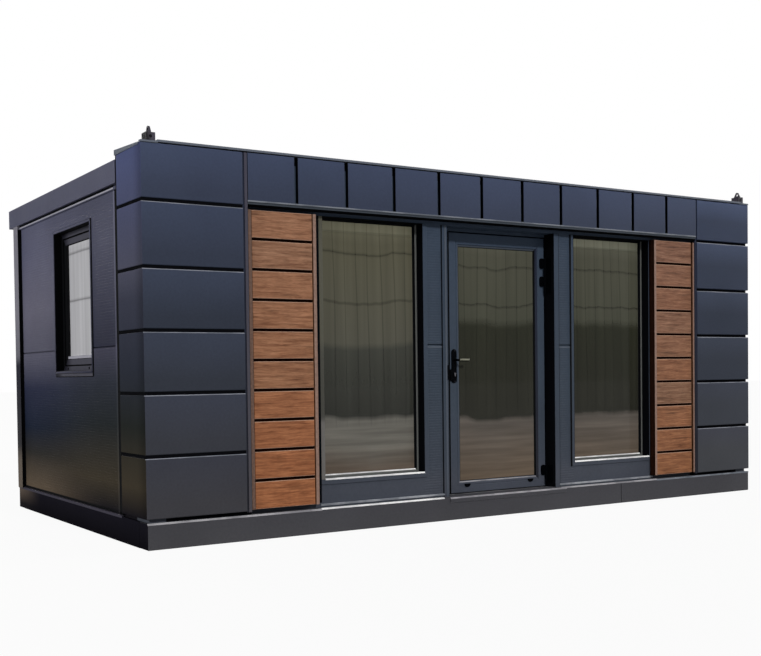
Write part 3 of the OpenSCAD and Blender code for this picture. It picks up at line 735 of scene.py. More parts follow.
# The drip's nose gets a painted highlight.
boxes("header_drip_nose", "lip_edge", [(LIP[0].x, LIP[1].x, FRONT_Y - 1.5 * MM, LIP[0].y + 8 * MM,
                                        *near(LIP[1].z, 0, 11))], bevel=0.002)

CORE = BOX["parapet_core"]
CAP = BOX["parapet_cap"]
cap_top = CASSETTE_Z1 + 13 * MM
boxes("parapet_cap_corners", "cap", mirrored([
    (*near(LEFT_X, 1, 121), CAP[0].y, FRONT_Y + 29 * MM, CASSETTE_Z1, cap_top),
    (*near(LEFT_X, 120.5, 123), CAP[0].y, FRONT_Y + 29 * MM, CASSETTE_Z1, cap_top + 8 * MM)]),
      bevel=0.0015)
boxes("parapet_rear_cover", "panel", [
    (LEFT_X + 82 * MM, RIGHT_X - 82 * MM, *near(FRONT_Y, 80, 82), ROOF[1].z, CORE[1].z - 1 * MM)]
      + mirrored([(*near(LEFT_X, 80, 82), FRONT_Y + 112 * MM, RETURN_Y - 1 * MM, ROOF[1].z,
                   CASSETTE_Z1 - 13 * MM)]), bevel=0.0005)

# ---------------------------------------------------------------- walls
RIB, GROOVE, RIB_DEPTH = 20 * MM, 6 * MM, 1.3 * MM
UPPER_LIFT, LOWER_DROP = 7 * MM, 3 * MM  # the open joint between the lower and the upper panels


def panel_heights(low, high):
    """Where the ribbed face of a wall panel starts and ends."""
    return (low.z if low.z < JOINT_Z - 10 * MM else low.z + UPPER_LIFT,
            high.z - LOWER_DROP if high.z < WALL_TOP - 10 * MM else high.z)


def ribs(outer, inward, z0, z1, joints=()):
    """The outer edge of a micro-lined sandwich panel, from z0 up to z1, as (depth, z) points."""
    points = [(outer, z0)]
    first = math.ceil((z0 + GROOVE) / RIB)
    for i in range(first, int((z1 - GROOVE) / RIB) + 1):
        z = i * RIB
        if any(abs(z - joint) < 14 * MM for joint in joints):
            continue
        points += [(outer, z - GROOVE / 2), (outer + inward * RIB_DEPTH, z), (outer, z + GROOVE / 2)]
    for joint in joints:
        points += [(outer, joint - 9 * MM), (outer + inward * 5 * MM, joint - 3 * MM),
                   (outer + inward * 12 * MM, joint), (outer + inward * 12 * MM, joint + 6 * MM),
                   (outer, joint + 7 * MM)]
    points.append((outer, z1))
    return sorted(points, key=lambda p: (round(p[1], 6), 0))


def ribbed(bm, axis, outer, inner, start, end, z0, z1, joints=()):
    inward = 1 if inner > outer else -1
    outline = ribs(outer, inward, z0, z1, joints)
    prism(bm, outline + [(inner, z1), (inner, z0)], axis, start, end)


def side_wall(name, node, mat, hole):
    """A side wall runs along y and has a hole (y0, y1, z0, z1) for the window."""
    bm = bmesh.new()
    low, high = BOX[node]
    left = low.x < 0
    outer, inner = (low.x, high.x) if left else (high.x, low.x)
    low_z, high_z = panel_heights(low, high)
    y0, y1, z0, z1 = hole
    cut0, cut1 = max(low_z, z0), min(high_z, z1)
    parts = [(low.y, high.y, low_z, cut0), (low.y, high.y, cut1, high_z),
             (low.y, y0, cut0, cut1), (y1, high.y, cut0, cut1)]
    for start, end, bottom, top in parts:
        if top - bottom > 1 * MM:
            ribbed(bm, "y", outer, inner, start, end, bottom, top)
    if low_z > low.z:
        for start, end in ((low.y, y0), (y1, high.y)):
            box(bm, low.x + 12 * MM, high.x - 12 * MM, start, end, low.z, low_z)
    return piece(name, bm, mat, stands_for=(node,))


SIDE_FRAME_W = 62 * MM  # from a side pane out to the edge of its hole
side_pane = SIDE_PANES[0]
HOLE = (side_pane[0].y - SIDE_FRAME_W, side_pane[1].y + SIDE_FRAME_W,
        side_pane[0].z - SIDE_FRAME_W, side_pane[1].z + SIDE_FRAME_W)
for side in ("left", "right"):
    side_wall(side + "_panel_low", side + "_wall_lower", "side_low", HOLE)
    side_wall(side + "_panel_high", side + "_wall_upper", "side_high", HOLE)

for name, node, mat in (("rear_panel_low", "rear_wall_lower", "rear_low"),
                        ("rear_panel_high", "rear_wall_upper", "rear_high")):
    bm = bmesh.new()
    low, high = BOX[node]
    sheets = 5
    step = (high.x - low.x) / sheets
    low_z, high_z = panel_heights(low, high)
    for i in range(sheets):
        x0 = low.x + i * step + (1.5 * MM if i else 0)
        x1 = low.x + (i + 1) * step - (1.5 * MM if i < sheets - 1 else 0)
        ribbed(bm, "x", high.y, low.y, x0, x1, low_z, high_z)
    box(bm, low.x, high.x, low.y + 10 * MM, high.y - 12 * MM, low.z, high.z)
    piece(name, bm, mat, stands_for=(node,))

bm = bmesh.new()
for low, high in PIERS:
    ribbed(bm, "x", low.y, high.y, low.x, high.x, low.z, high.z, joints=(JOINT_Z,))
piece("pier_panels", bm, "panel", stands_for=("front_piers",))
tick = near(JOINT_Z, -23, -9)
# Short painted highlights along the pier panels just under their joint.
boxes("pier_joint_edges", "frame_edge", [
    (low.x + FLANGE, high.x, *near(low.y, -0.8, 3), *tick) for low, high in PIERS[:1]] + [
    (low.x, high.x - FLANGE, *near(low.y, -0.8, 3), *tick) for low, high in PIERS[1:]],
    bevel=0.0006)

for node in ("front_posts", "front_wall_left", "front_wall_right", "front_sills",
             "header_beam"):
    dress(node, "panel")
dress("rear_posts", "post_side")
for node in ("base_beam_front", "base_beam_rear"):
    bm = bmesh.new()
    low, high = BOX[node]
    box(bm, low.x, high.x, low.y, high.y, low.z, high.z)
    fold_edges(bm, 4 * MM, 2)
    beam = piece(node + "_skin", bm, "base", stands_for=(node,))
    repaint(beam, "base_side", lambda n, c: abs(n.x) > 0.6)
    weigh_normals(beam)
for node, mat, bevel in (
        ("base_beams_side", "base_side", 4), ("side_fascias", "fascia", 3), ("rear_fascia", "fascia", 3),
        ("parapet_cap", "cap", 2), ("portal_core_left", "black", 0), ("portal_core_right", "black", 0),
        ("parapet_core", "black", 0), ("wall_top_trim", "side_high", 1), ("lifting_eyes", "lug", 2),
        ("hinge_frames", "hardware", 4)):
    dress(node, mat, bevel * MM)

# Pale nosing under the fascias with a painted shadow above it, edge strips beside the returns, and
# black strips at the posts and behind the returns, which are seals and painted shade
TRIM = islands("wall_top_trim")
nose_y = (TRIM[0][0].y + 90 * MM, TRIM[0][1].y)
boxes("wall_top_nosing", "side_light", mirrored([
    (*near(TRIM[0][0].x, -1.5, 0), *nose_y, *near(TRIM[0][1].z, -16, -5))]),
    bevel=0.0006)
boxes("wall_top_shadow", "black", mirrored([
    (*near(TRIM[0][0].x, -0.8, 0), *nose_y, *near(TRIM[0][1].z, -4, 9))]))
boxes("wall_edge_strips", "side_edge", mirrored([
    (*near(WALL_X, -1.5, 0), *near(RETURN_Y, 92, 120), BASE_Z + 4 * MM, TRIM[0][0].z)]), bevel=0.0006)
# At the posts the black stands for seals and the deep shade there; behind each return it is a painted
# shadow.
boxes("wall_edge_seals", "gasket", mirrored([
    (LEFT_X + 2 * MM, WALL_X, *near(POST_Y, -2, 0), BASE_Z, TRIM[0][0].z),
    (*near(WALL_X, -2, 0), *near(POST_Y, -14, -2), BASE_Z, TRIM[0][0].z),
    (*near(WALL_X, -1, 0), *near(RETURN_Y, 0, 92), BASE_Z + 2 * MM, TRIM[0][0].z)]))

# Base ledges: painted highlights along the top edge of the base, pale in some stretches of the front
# and dull in others and along the sides, and a painted shadow along the foot of each side wall
FRONT_BASE = BOX["base_beam_front"]
door_x0, door_x1 = DOOR_FRAME[0].x, DOOR_FRAME[1].x
ledge_y = near(FRONT_BASE[0].y, -1.5, 12)
low_ledge = (*ledge_y, *near(BASE_Z, -11, 2))
high_ledge = (*ledge_y, *near(BASE_Z, -6, 6))
boxes("front_ledge", "bright", [(PANELS[0][1].x, door_x0 - 58 * MM, *high_ledge)], bevel=0.001)
boxes("front_ledge_left", "dull", [(FRONT_BASE[0].x, PANELS[0][1].x, *low_ledge)], bevel=0.001)
boxes("front_ledge_middle", "dull", [(door_x1 - 50 * MM, PANELS[1][0].x, *high_ledge)], bevel=0.001)
boxes("front_ledge_right", "lip_edge", [(PANELS[1][0].x, FRONT_BASE[1].x, *low_ledge)], bevel=0.001)
boxes("side_ledges", "side_ledge", mirrored([
    (*near(FRONT_BASE[0].x, -1.5, 20), RETURN_Y + 4 * MM, BOX["base_beam_rear"][1].y,
     *near(BASE_Z, -9, 9))]), bevel=0.0008)
# A painted shadow along the foot of each side wall.
boxes("side_foot_shadow", "gasket", mirrored([
    (*near(WALL_X, -1, 0), RETURN_Y + 2 * MM, POST_Y - 14 * MM, *near(BASE_Z, 9, 26))]))
SEAM_X = LEFT_X + 4322 * MM  # where two lengths of the base skirt meet
boxes("front_seam", "gasket", [
    (*near(SEAM_X, 0, 5), *near(FRONT_BASE[0].y, -0.6, 1), 4 * MM, BASE_Z - 8 * MM)])
SILLS = islands("front_sills")
SILL_RUNS = [(low.x - FLANGE, door_x0, low.y) if low.x < 0 else (door_x1, high.x + FLANGE, low.y)
             for low, high in SILLS]
bm = bmesh.new()
for x0, x1, y in SILL_RUNS:
    prism(bm, [(y, BASE_Z + 26 * MM), (y - 7 * MM, BASE_Z + 23 * MM), (y - 8 * MM, BASE_Z + 11 * MM),
               (y, BASE_Z + 11 * MM)], "x", x0, x1)
piece("sill_flashing", bm, "flashing")
boxes("sill_foot", "frame_edge", [(x0, x1, *near(y, -1, 0), *near(BASE_Z, 1, 11))
                                  for x0, x1, y in SILL_RUNS])

# ---------------------------------------------------------------- roof
bm = bmesh.new()
RIB_PITCH, RIB_TOP, RIB_FOOT, RIB_RISE = 250 * MM, 24 * MM, 52 * MM, 14 * MM
outline = [(ROOF[0].x, ROOF[0].z)]
rib_count = int((ROOF[1].x - ROOF[0].x) / RIB_PITCH)
margin = ((ROOF[1].x - ROOF[0].x) - (rib_count - 1) * RIB_PITCH) / 2
outline.append((ROOF[0].x, ROOF[1].z))
for i in range(rib_count):
    x = ROOF[0].x + margin + i * RIB_PITCH
    outline += [(x - RIB_FOOT / 2, ROOF[1].z), (x - RIB_TOP / 2, ROOF[1].z + RIB_RISE),
                (x + RIB_TOP / 2, ROOF[1].z + RIB_RISE), (x + RIB_FOOT / 2, ROOF[1].z)]
outline += [(ROOF[1].x, ROOF[1].z), (ROOF[1].x, ROOF[0].z)]
prism(bm, outline, "y", ROOF[0].y, ROOF[1].y)
piece("roof_sheet", bm, "roof", stands_for=("roof_panel",))


# ---------------------------------------------------------------- timber
def boards():
    """Bevelled boards; the bevels along their tops and feet are painted paler, a painted highlight, and
    each board has its own stretch of grain.
    """
    places = [(low, high, Vector([random.uniform(-9, 9) for _ in range(3)]))
              for low, high in islands("timber_boards")]
    bm = bmesh.new()
    for low, high, _ in places:
        box(bm, low.x, high.x + 5 * MM, low.y, high.y, low.z + 2 * MM, high.z - 2 * MM)
    fold_edges(bm, 4 * MM, 2)
    layer = bm.verts.layers.float_vector.new("board")
    for v in bm.verts:
        for low, high, shift in places:
            if low.x - MM < v.co.x < high.x + 6 * MM and low.z - MM < v.co.z < high.z + MM:
                v[layer] = shift
    obj = piece("board_cladding", bm, "wood", stands_for=("timber_boards",))
    repaint(obj, "wood_right", lambda n, c: c.x > 0)
    # A painted highlight on the bevels, and a painted shade on all faces between the boards.
    repaint(obj, "wood_edge", lambda n, c: abs(n.z) > 0.2 and n.y < -0.3)
    repaint(obj, "wood_gap", lambda n, c: n.y > -0.3)
    return obj


boards()
TRIM_W = 26 * MM
BOARD_BACK = BOX["timber_boards"][1].y
# The backing behind the boards is painted the dark of the gaps, a painted shade.
bm = bmesh.new()
for low, high in PANELS:
    box(bm, low.x, high.x, BOARD_BACK, WALL_Y - 8 * MM, low.z, high.z)
    for x in (low.x + 60 * MM, high.x - 100 * MM):
        box(bm, *near(x, 0, 40), *near(WALL_Y, -8, 0), low.z, high.z)
piece("timber_backing", bm, "wood_gap", stands_for=("timber_frames",))
# Painted shade on the trims: the one at the left end, in the corner by the column, is a darker copy, their
# sides are painted darker, and the right panel's first trim has a side as dark as the gaps.
for name, mat, side, strips in (
        ("timber_end_trim", "wood_dark", "wood_side", [PANELS[0][0].x]),
        ("timber_start_trim", "wood_trim", "wood_gap", [PANELS[1][0].x + 8 * MM]),
        ("timber_trims", "wood_trim", "wood_side", [PANELS[0][1].x - TRIM_W - 6 * MM,
                                                    PANELS[1][1].x - TRIM_W + 8 * MM])):
    bm = bmesh.new()
    for x in strips:
        box(bm, x, x + TRIM_W, PANELS[0][0].y, BOARD_BACK + 1 * MM, PANELS[0][0].z, PANELS[0][1].z)
    fold_edges(bm, 2 * MM, 2)
    trims = piece(name, bm, mat)
    repaint(trims, side, lambda n, c: abs(n.x) > 0.6)

# ---------------------------------------------------------------- front windows
SETBACK = 72 * MM  # from the wall's face back to the frame


def window(name, node, pane):
    x0, x1 = pane[0].x - FRAME_W, pane[1].x + FRAME_W
    z0, z1 = pane[0].z - FRAME_W, pane[1].z + FRAME_W
    frame_y = WALL_Y + SETBACK
    glass_y = pane[0].y
    side = BOX[node][1].x - x1
    # The head member hides behind the lintel and the foot of the frame stands in the sill.
    crown, drop, wide = 17 * MM, 7 * MM, FRAME_W / MM
    foot = pane[0].z - drop
    bm = bmesh.new()
    ring(bm, "y", (x0, x1, z0 - drop, z1 + crown), frame_y, [
        (0, 0, 2), (5, -2, 3), (wide - 4, -2, 3), (wide, 2, 3), (wide, 60, 3), (0, 60, 2)])
    obj = piece(name + "_frame", bm, "frame_light", stands_for=(node,))
    # The head member is painted black, a painted shade under the lintel; the side faces are black like the
    # gasket.
    repaint(obj, "gasket", lambda n, c: c.z > pane[1].z + crown - 4 * MM or abs(n.x) > 0.5)
    # The frame's foot gets a painted highlight.
    boxes(name + "_sill_bead", "bright", [(
        pane[0].x + 1 * MM, pane[1].x - 1 * MM, *near(glass_y, -12, -1), *near(foot, -1, 9))],
        bevel=0.002)
    bm = bmesh.new()
    ring(bm, "y", (pane[0].x, pane[1].x, foot, pane[1].z + crown), glass_y, [
        (0, -5, 2), (4, -4, 2), (8, -1, 2), (8, 0, 2), (0, 0, 2)])
    piece(name + "_gasket", bm, "gasket")
    # The flange lies on the wall. Its lower corners are rounded.
    bm = bmesh.new()
    outer = round_rect(x0 - FLANGE, x1 + side, z0 - FLANGE, LINTEL_Z + 40 * MM, 20 * MM, 6)
    hole = round_rect(x0, x1, z0, z1 + 40 * MM, 0.5 * MM, 6)
    face, back = WALL_Y - FLANGE_T, WALL_Y
    loops = [[(p, y) for p in line] for line, y in
             ((outer, back), (outer, face + 1.5 * MM), (shrink(outer, 1.5 * MM), face),
              (shrink(hole, -2 * MM), face), (hole, face + 2 * MM), (hole, back))]
    rows = [[bm.verts.new((p[0], y, min(p[1], LINTEL_Z))) for p, y in loop] for loop in loops]
    skin(bm, rows + rows[:1])
    bmesh.ops.remove_doubles(bm, verts=bm.verts, dist=1e-6)
    piece(name + "_flange", bm, "frame")
    liner = 3 * MM
    # Black liners in the reveals: black partly their own, partly painted shade.
    boxes(name + "_reveals", "black", [
        (x0, x0 + liner, face + 2 * MM, frame_y, z0 + 2 * MM, z1),
        (x1 - liner, x1, face + 2 * MM, frame_y, z0 + 2 * MM, z1),
        (x0, x1, WALL_Y, frame_y, *near(z1, -1, 0))])
    # The sill's nose gets a painted highlight.
    bm = bmesh.new()
    prism(bm, [(face - 2 * MM, z0 - 5 * MM), (face - 2 * MM, z0 + 4 * MM), (face + 4 * MM, z0 + 7 * MM),
               (face + 12 * MM, z0 + 5 * MM), (face + 12 * MM, z0 - 5 * MM)], "x", x0 + liner, x1 - liner)
    piece(name + "_sill_nose", bm, "bright")
    boxes(name + "_sill_plate", "frame_light", [(
        x0 + liner, x1 - liner, face + 12 * MM, frame_y, *near(z0, 0, 3))])


WINDOW_X0 = [pane[0].x - FRAME_W for pane in FRONT_PANES]
proud = WALL_Y - FLANGE_T - 0.6 * MM
# Painted shadows: a black strip between the left timber and its window's flange, and a dark line along the
# outer edge of the right window's flange.
boxes("left_window_gap", "black", [
    (PANELS[0][1].x - 1 * MM, WINDOW_X0[0] - 30 * MM, proud, WALL_Y, BASE_Z + 36 * MM, LINTEL_Z)])
# The strip beside the left window carries a painted reflection.
boxes("left_window_bead", "bead", [
    (*near(WINDOW_X0[0], -30, 2), proud - 1 * MM, WALL_Y, FRONT_PANES[0][0].z - FRAME_W,
     LINTEL_Z)], bevel=0.0015)
boxes("right_window_gap", "gasket", [
    (WINDOW_X0[1] - FLANGE - 4 * MM, WINDOW_X0[1] - FLANGE + 9 * MM, proud, WALL_Y,
     FRONT_PANES[1][0].z - FRAME_W - FLANGE, LINTEL_Z)])


window("left_window", "window_left", FRONT_PANES[0])
window("right_window", "window_right", FRONT_PANES[1])
for name, mat, (low, high), stands_for in (("left_pane", "glass_left", FRONT_PANES[0], ("window_glass",)),
                                           ("right_pane", "glass", FRONT_PANES[1], ())):
    boxes(name, mat, [(low.x, high.x, low.y, high.y, low.z - 7 * MM, high.z + 17 * MM)],
          stands_for=stands_for, bevel=0.001)
bm = bmesh.new()
for low, high in SIDE_PANES:
    box(bm, low.x, high.x, low.y, high.y, low.z, high.z)
piece("side_panes", bm, "pale_glass")


# ---------------------------------------------------------------- side windows
def side_window(name, node, pane):
    """A window in a side wall. Depths are millimetres behind the wall's outer face."""
    sign = 1 if pane[0].x < 0 else -1
    y0, y1, z0, z1 = rect = HOLE

    def depth(mm):
        return sign * (WALL_X + mm * MM)

    def frame(bm, *profiles):
        for profile in profiles:
            ring(bm, "x", rect, depth(0), profile, sign)

    glass_in = 100 * MM
    bm = bmesh.new()
    frame(bm, [(0, 62, 1), (3, 60, 2), (38, 60, 2), (40, 62, 2), (40, 100, 2), (0, 100, 1)],
          [(48, 68, 2), (50, 66, 2), (88, 66, 3), (94, 70, 3), (94, 118, 3), (48, 118, 2)])
    obj = piece(name + "_frame", bm, "side_frame", stands_for=(node,))
    # The frame's uprights and its faces that look up or down are painted black, a painted shade.
    repaint(obj, "gasket", lambda n, c: z0 + glass_in < c.z < z1 - glass_in or abs(n.z) > 0.6)
    bm = bmesh.new()
    frame(bm, [(39, 72, 1), (49, 72, 1), (49, 100, 1), (39, 100, 1)],
          [(93, 72, 1), (100, 76, 2), (100, 78, 2), (93, 78, 1)],
          [(0, 0, 0.5), (3, 0, 0.5), (3, 62, 0.5), (0, 62, 0.5)],
          [(-20, 0, 6), (-20, -2, 6), (-17, -2, 6), (-17, 0, 6)])
    piece(name + "_gaskets", bm, "gasket")
    bm = bmesh.new()
    frame(bm, [(-17, 0, 6), (-17, -4.5, 6), (-16, -5.5, 6), (-1, -5.5, 1), (0, -4.5, 1), (0, 0, 1)])
    piece(name + "_flange", bm, "side_high")
    strip = sorted((depth(-5.8), depth(0)))
    boxes(name + "_edge_seal", "gasket", [
        (*strip, *near(y0, -36, -20), z0 - 42 * MM, z1 + 18 * MM)], bevel=0.0015)
    boxes(name + "_apron", "side_frame", [
        (*strip, y0 - 20 * MM, y1, *near(z0, -41, -20))], bevel=0.0015)
    cover = sorted((depth(71), depth(78)))
    boxes(name + "_jamb_cover", "gasket", [
        (*cover, *near(y, 0, 40), z0 + glass_in - 8 * MM, z1 - glass_in + 8 * MM)
        for y in (y0 + glass_in - 6 * MM, y1 - glass_in - 34 * MM)], bevel=0.003)
    boxes(name + "_apron_line", "gasket", [
        (*strip, y0 - 20 * MM, y1, *near(z0, -46, -41))], bevel=0.0015)
    # The bead at the foot of the pane gets a painted highlight.
    bm = bmesh.new()
    prism(bm, [(depth(68), z0 + glass_in + 16 * MM), (depth(76), z0 + glass_in + 20 * MM),
               (depth(76), z0 + glass_in + 1 * MM), (depth(68), z0 + glass_in - 2 * MM)], "y",
          y0 + glass_in, y1 - glass_in)
    piece(name + "_bead", bm, "side_light")
    bm = bmesh.new()
    prism(bm, [(depth(-7), z0 + 1 * MM), (depth(60), z0 + 5 * MM), (depth(60), z0 - 1 * MM),
               (depth(-7), z0 - 4 * MM)], "y", y0 + 3 * MM, y1 - 3 * MM)
    piece(name + "_sill", bm, "side_frame")
    bm = bmesh.new()
    for y in (y0 + 240 * MM, y1 - 120 * MM):
        rod(bm, y, z0 + 20 * MM, "x", 9 * MM, depth(57), depth(61), 20)
    for y in (y0 - 8 * MM, (y0 + y1) / 2, y1 + 8 * MM):
        for z in (z0 - 8 * MM, z1 + 8 * MM):
            rod(bm, y, z, "x", 3.5 * MM, depth(-6.5), depth(-5.5), 12)
    piece(name + "_caps", bm, "hardware")


side_window("left_side_window", "side_window_left", SIDE_PANES[0])
side_window("right_side_window", "side_window_right", SIDE_PANES[1])

# ---------------------------------------------------------------- door frame
dress("door_frame", "frame", 0.0015)
face_y = DOOR_FRAME[0].y
reveal_x0, reveal_x1 = DOOR_FRAME[0].x + 48 * MM, DOOR_FRAME[1].x - 48 * MM
frame_z0, frame_z1 = DOOR_FRAME[0].z, DOOR_FRAME[1].z
LEAF_Y = LEAF[0].y
# Black liners in the door's reveals: black partly their own, partly painted shade.
boxes("door_reveal_liners", "black", [
    (*near(reveal_x1, -0.8, 0), face_y + 3 * MM, ROOM_Y, frame_z0 + 1 * MM, frame_z1),
    (*near(reveal_x0, 0, 0.8), face_y + 3 * MM, LEAF_Y, frame_z0 + 1 * MM, frame_z1)])
# A painted highlight on the door frame's face beside the reveal.
boxes("door_frame_edge", "frame_edge", [
    (*near(reveal_x0, -25, -11), *near(face_y, -2, 6), frame_z0, frame_z1)],
    bevel=0.0015)
boxes("door_gap_seal", "gasket", [
    (*near(LEAF[0].x, -44, -4), *near(LEAF_Y, -1.5, 0), frame_z0 + 1 * MM, LEAF[1].z)])
boxes("door_frame_seals", "gasket", [
    (*near(DOOR_FRAME[0].x, -9, 0), *near(face_y, 3, 6), frame_z0, frame_z1),
    (*near(DOOR_FRAME[1].x, 0, 6), *near(face_y, 3, 6), frame_z0, frame_z1)])

# ---------------------------------------------------------------- threshold
SILL = BOX["threshold"]
bm = bmesh.new()
front = SILL[0].y + 1 * MM
outline = [(front, SILL[0].z + 1.5 * MM), (front, SILL[1].z - 5 * MM), (front + 3 * MM, SILL[1].z - 2 * MM)]
y = SILL[0].y + 14 * MM
while y < LEAF_Y - 12 * MM:
    outline += [(y, SILL[1].z - 2 * MM), (y + 2 * MM, SILL[1].z), (y + 7 * MM, SILL[1].z),
                (y + 9 * MM, SILL[1].z - 2 * MM)]
    y += 18 * MM
outline += [(SILL[1].y, SILL[1].z - 2 * MM), (SILL[1].y, SILL[0].z), (front + 1.5 * MM, SILL[0].z)]
prism(bm, outline, "x", SILL[0].x, SILL[1].x)
piece("threshold_plate", bm, "threshold", stands_for=("threshold",))
# The threshold's nose gets a painted highlight.
boxes("threshold_nose", "dull", [
    (SILL[0].x, SILL[1].x, *near(SILL[0].y, 0, 10), *near(SILL[1].z, -9, 4))],
      bevel=0.002)
boxes("threshold_face", "base", [
    (SILL[0].x, SILL[1].x, *near(SILL[0].y, 0, 6), SILL[0].z + 2 * MM, SILL[1].z - 9 * MM)])

# ---------------------------------------------------------------- door leaf
bm = bmesh.new()
leaf_rect = (LEAF[0].x, LEAF[1].x, LEAF[0].z, LEAF[1].z)
STILE = DOOR_GLASS[0].x - LEAF[0].x
y0, y1 = LEAF[0].y, LEAF[1].y
wide, thick = STILE / MM, (y1 - y0) / MM
ring(bm, "y", leaf_rect, y0, [
    (0, 3, 1), (3, 0, 1), (wide - 26, 0, 2), (wide - 24, 3, 2), (wide - 20, 3, 2), (wide - 18, 1, 2),
    (wide - 6, 1, 2), (wide, 9, 3), (wide, thick - 9, 3), (wide - 6, thick - 1, 2),
    (wide - 20, thick - 1, 2), (wide - 22, thick, 2), (3, thick, 1), (0, thick - 3, 1)])
# The bottom rail is a little lower than the stiles are wide.
GLASS_DROP = 13 * MM
for v in bm.verts:
    if LEAF[0].z + STILE - 30 * MM < v.co.z < LEAF[0].z + STILE + 4 * MM:
        v.co.z -= GLASS_DROP
obj = piece("leaf_frame", bm, "leaf", body="door", stands_for=("door_leaf",))
# The hinge side lies in the shade of the reveal.
repaint(obj, "edge_dark", lambda n, c: n.y < -0.1 and DOOR_GLASS[1].x < c.x < DOOR_GLASS[1].x + 22 * MM)
boxes("leaf_edge_seal", "gasket", [
    (*near(LEAF[0].x, 0, 5), *near(y0, -0.6, 3), LEAF[0].z + 2 * MM, LEAF[1].z - 2 * MM)],
      body="door")
GLASS_FOOT = DOOR_GLASS[0].z - GLASS_DROP
GLASS_FACES = ((DOOR_GLASS[0].y, -1), (DOOR_GLASS[1].y, 1))
glass_rect = (DOOR_GLASS[0].x, DOOR_GLASS[1].x, GLASS_FOOT, DOOR_GLASS[1].z)
bm = bmesh.new()
for pane_y, away in GLASS_FACES:
    ring(bm, "y", glass_rect, pane_y, [(-1, 8, 1), (3, 8, 1), (12, 1.5, 2), (12, 0, 2), (-1, 0, 1)], away)
obj = piece("leaf_bead", bm, "frame_edge", body="door")
# The bead's hinge side is painted black, a painted shade from the reveal.
repaint(obj, "gasket", lambda n, c: c.x > DOOR_GLASS[1].x - 14 * MM)
# The foot of the pane gets a painted highlight along its bead.
boxes("leaf_sill_bead", "dull", [
    (DOOR_GLASS[0].x + 1 * MM, DOOR_GLASS[1].x - 1 * MM, *near(DOOR_GLASS[0].y, -9, -1),
     *near(GLASS_FOOT, -4, 9))], body="door", bevel=0.002)
bm = bmesh.new()
for pane_y, away in GLASS_FACES:
    ring(bm, "y", glass_rect, pane_y, [(12, 2.5, 2), (16, 1, 2), (16, 0, 2), (11, 0, 2)], away)
piece("leaf_gasket", bm, "gasket", body="door")
boxes("leaf_pane", "glass", [
    (DOOR_GLASS[0].x, DOOR_GLASS[1].x, DOOR_GLASS[0].y, DOOR_GLASS[1].y, GLASS_FOOT,
     DOOR_GLASS[1].z)], body="door", stands_for=("door_glass",))
bm = bmesh.new()
for x in (DOOR_GLASS[0].x + 74 * MM, DOOR_GLASS[1].x - 74 * MM):
    prism(bm, [(x - 28 * MM, LEAF[0].z + 70 * MM), (x + 28 * MM, LEAF[0].z + 70 * MM),
               (x + 28 * MM, LEAF[0].z + 60 * MM), (x + 14 * MM, LEAF[0].z + 45 * MM),
               (x - 16 * MM, LEAF[0].z + 45 * MM), (x - 28 * MM, LEAF[0].z + 58 * MM)],
          "y", *near(y0, -7, 1))
piece("leaf_drain_caps", bm, "hardware", body="door", bevel=0.0015)

# ---------------------------------------------------------------- handle
front_plate, rear_plate = sorted(islands("handle_plates"), key=lambda b: b[0].y)
PLATE_SIDES = [(low, high, out, (low.x + high.x) / 2, low.y if out < 0 else high.y)
               for (low, high), out in ((front_plate, -1), (rear_plate, 1))]
JOINTS = {joint["name"]: Vector(joint["pos_m"]) for joint in frame["joints"]}
AXIS, PIN = JOINTS["door_handle"], JOINTS["door"]
bm = bmesh.new()
for low, high, out, centre, top_y in PLATE_SIDES:
    at_leaf = high.y if out < 0 else low.y
    narrow, left, right = 24 * MM, 46 * MM, 29 * MM
    middle, edge = centre - 5 * MM, centre - left
    outline = circle(middle, high.z - narrow, narrow, 16)[:9]
    outline += [(middle - narrow, low.z + 112 * MM), (edge + 8 * MM, low.z + 108 * MM),
                (edge, low.z + 98 * MM), (edge, low.z + 28 * MM),
                (edge + 6 * MM, low.z + 18 * MM), (middle - narrow, low.z + 14 * MM)]
    for i in range(9):
        angle = math.pi * (1 + i / 8)
        outline.append((middle + narrow * math.cos(angle), low.z + 14 * MM + 14 * MM * math.sin(angle)))
    outline += [(middle + narrow, low.z + 34 * MM), (middle + right, low.z + 46 * MM),
                (middle + right, low.z + 62 * MM), (middle + narrow, low.z + 76 * MM)]
    prism(bm, outline, "y", at_leaf, top_y)
piece("handle_backplates", bm, "hardware", body="door", stands_for=("handle_plates",), bevel=0.003,
      segments=3)
bm = bmesh.new()
for low, high, out, middle, top_y in PLATE_SIDES:
    z = low.z + 66 * MM
    rod(bm, middle, z + 5 * MM, "y", 8 * MM, top_y + out * 5 * MM, top_y - out * 2 * MM)
    prism(bm, [(middle - 4 * MM, z - 14 * MM), (middle + 4 * MM, z - 14 * MM),
               (middle + 4 * MM, z + 2 * MM), (middle - 4 * MM, z + 2 * MM)], "y",
          top_y + out * 5 * MM, top_y - out * 2 * MM)
piece("key_cylinder", bm, "steel", body="door", bevel=0.001)
bm = bmesh.new()
for low, high, out, middle, top_y in PLATE_SIDES:
    for z in (high.z - 14 * MM, low.z + 12 * MM):
        rod(bm, middle, z, "y", 3 * MM, top_y + out * 1.2 * MM, top_y - out * 1 * MM, 16)
piece("handle_screws", bm, "lug", body="door", bevel=0.0005)

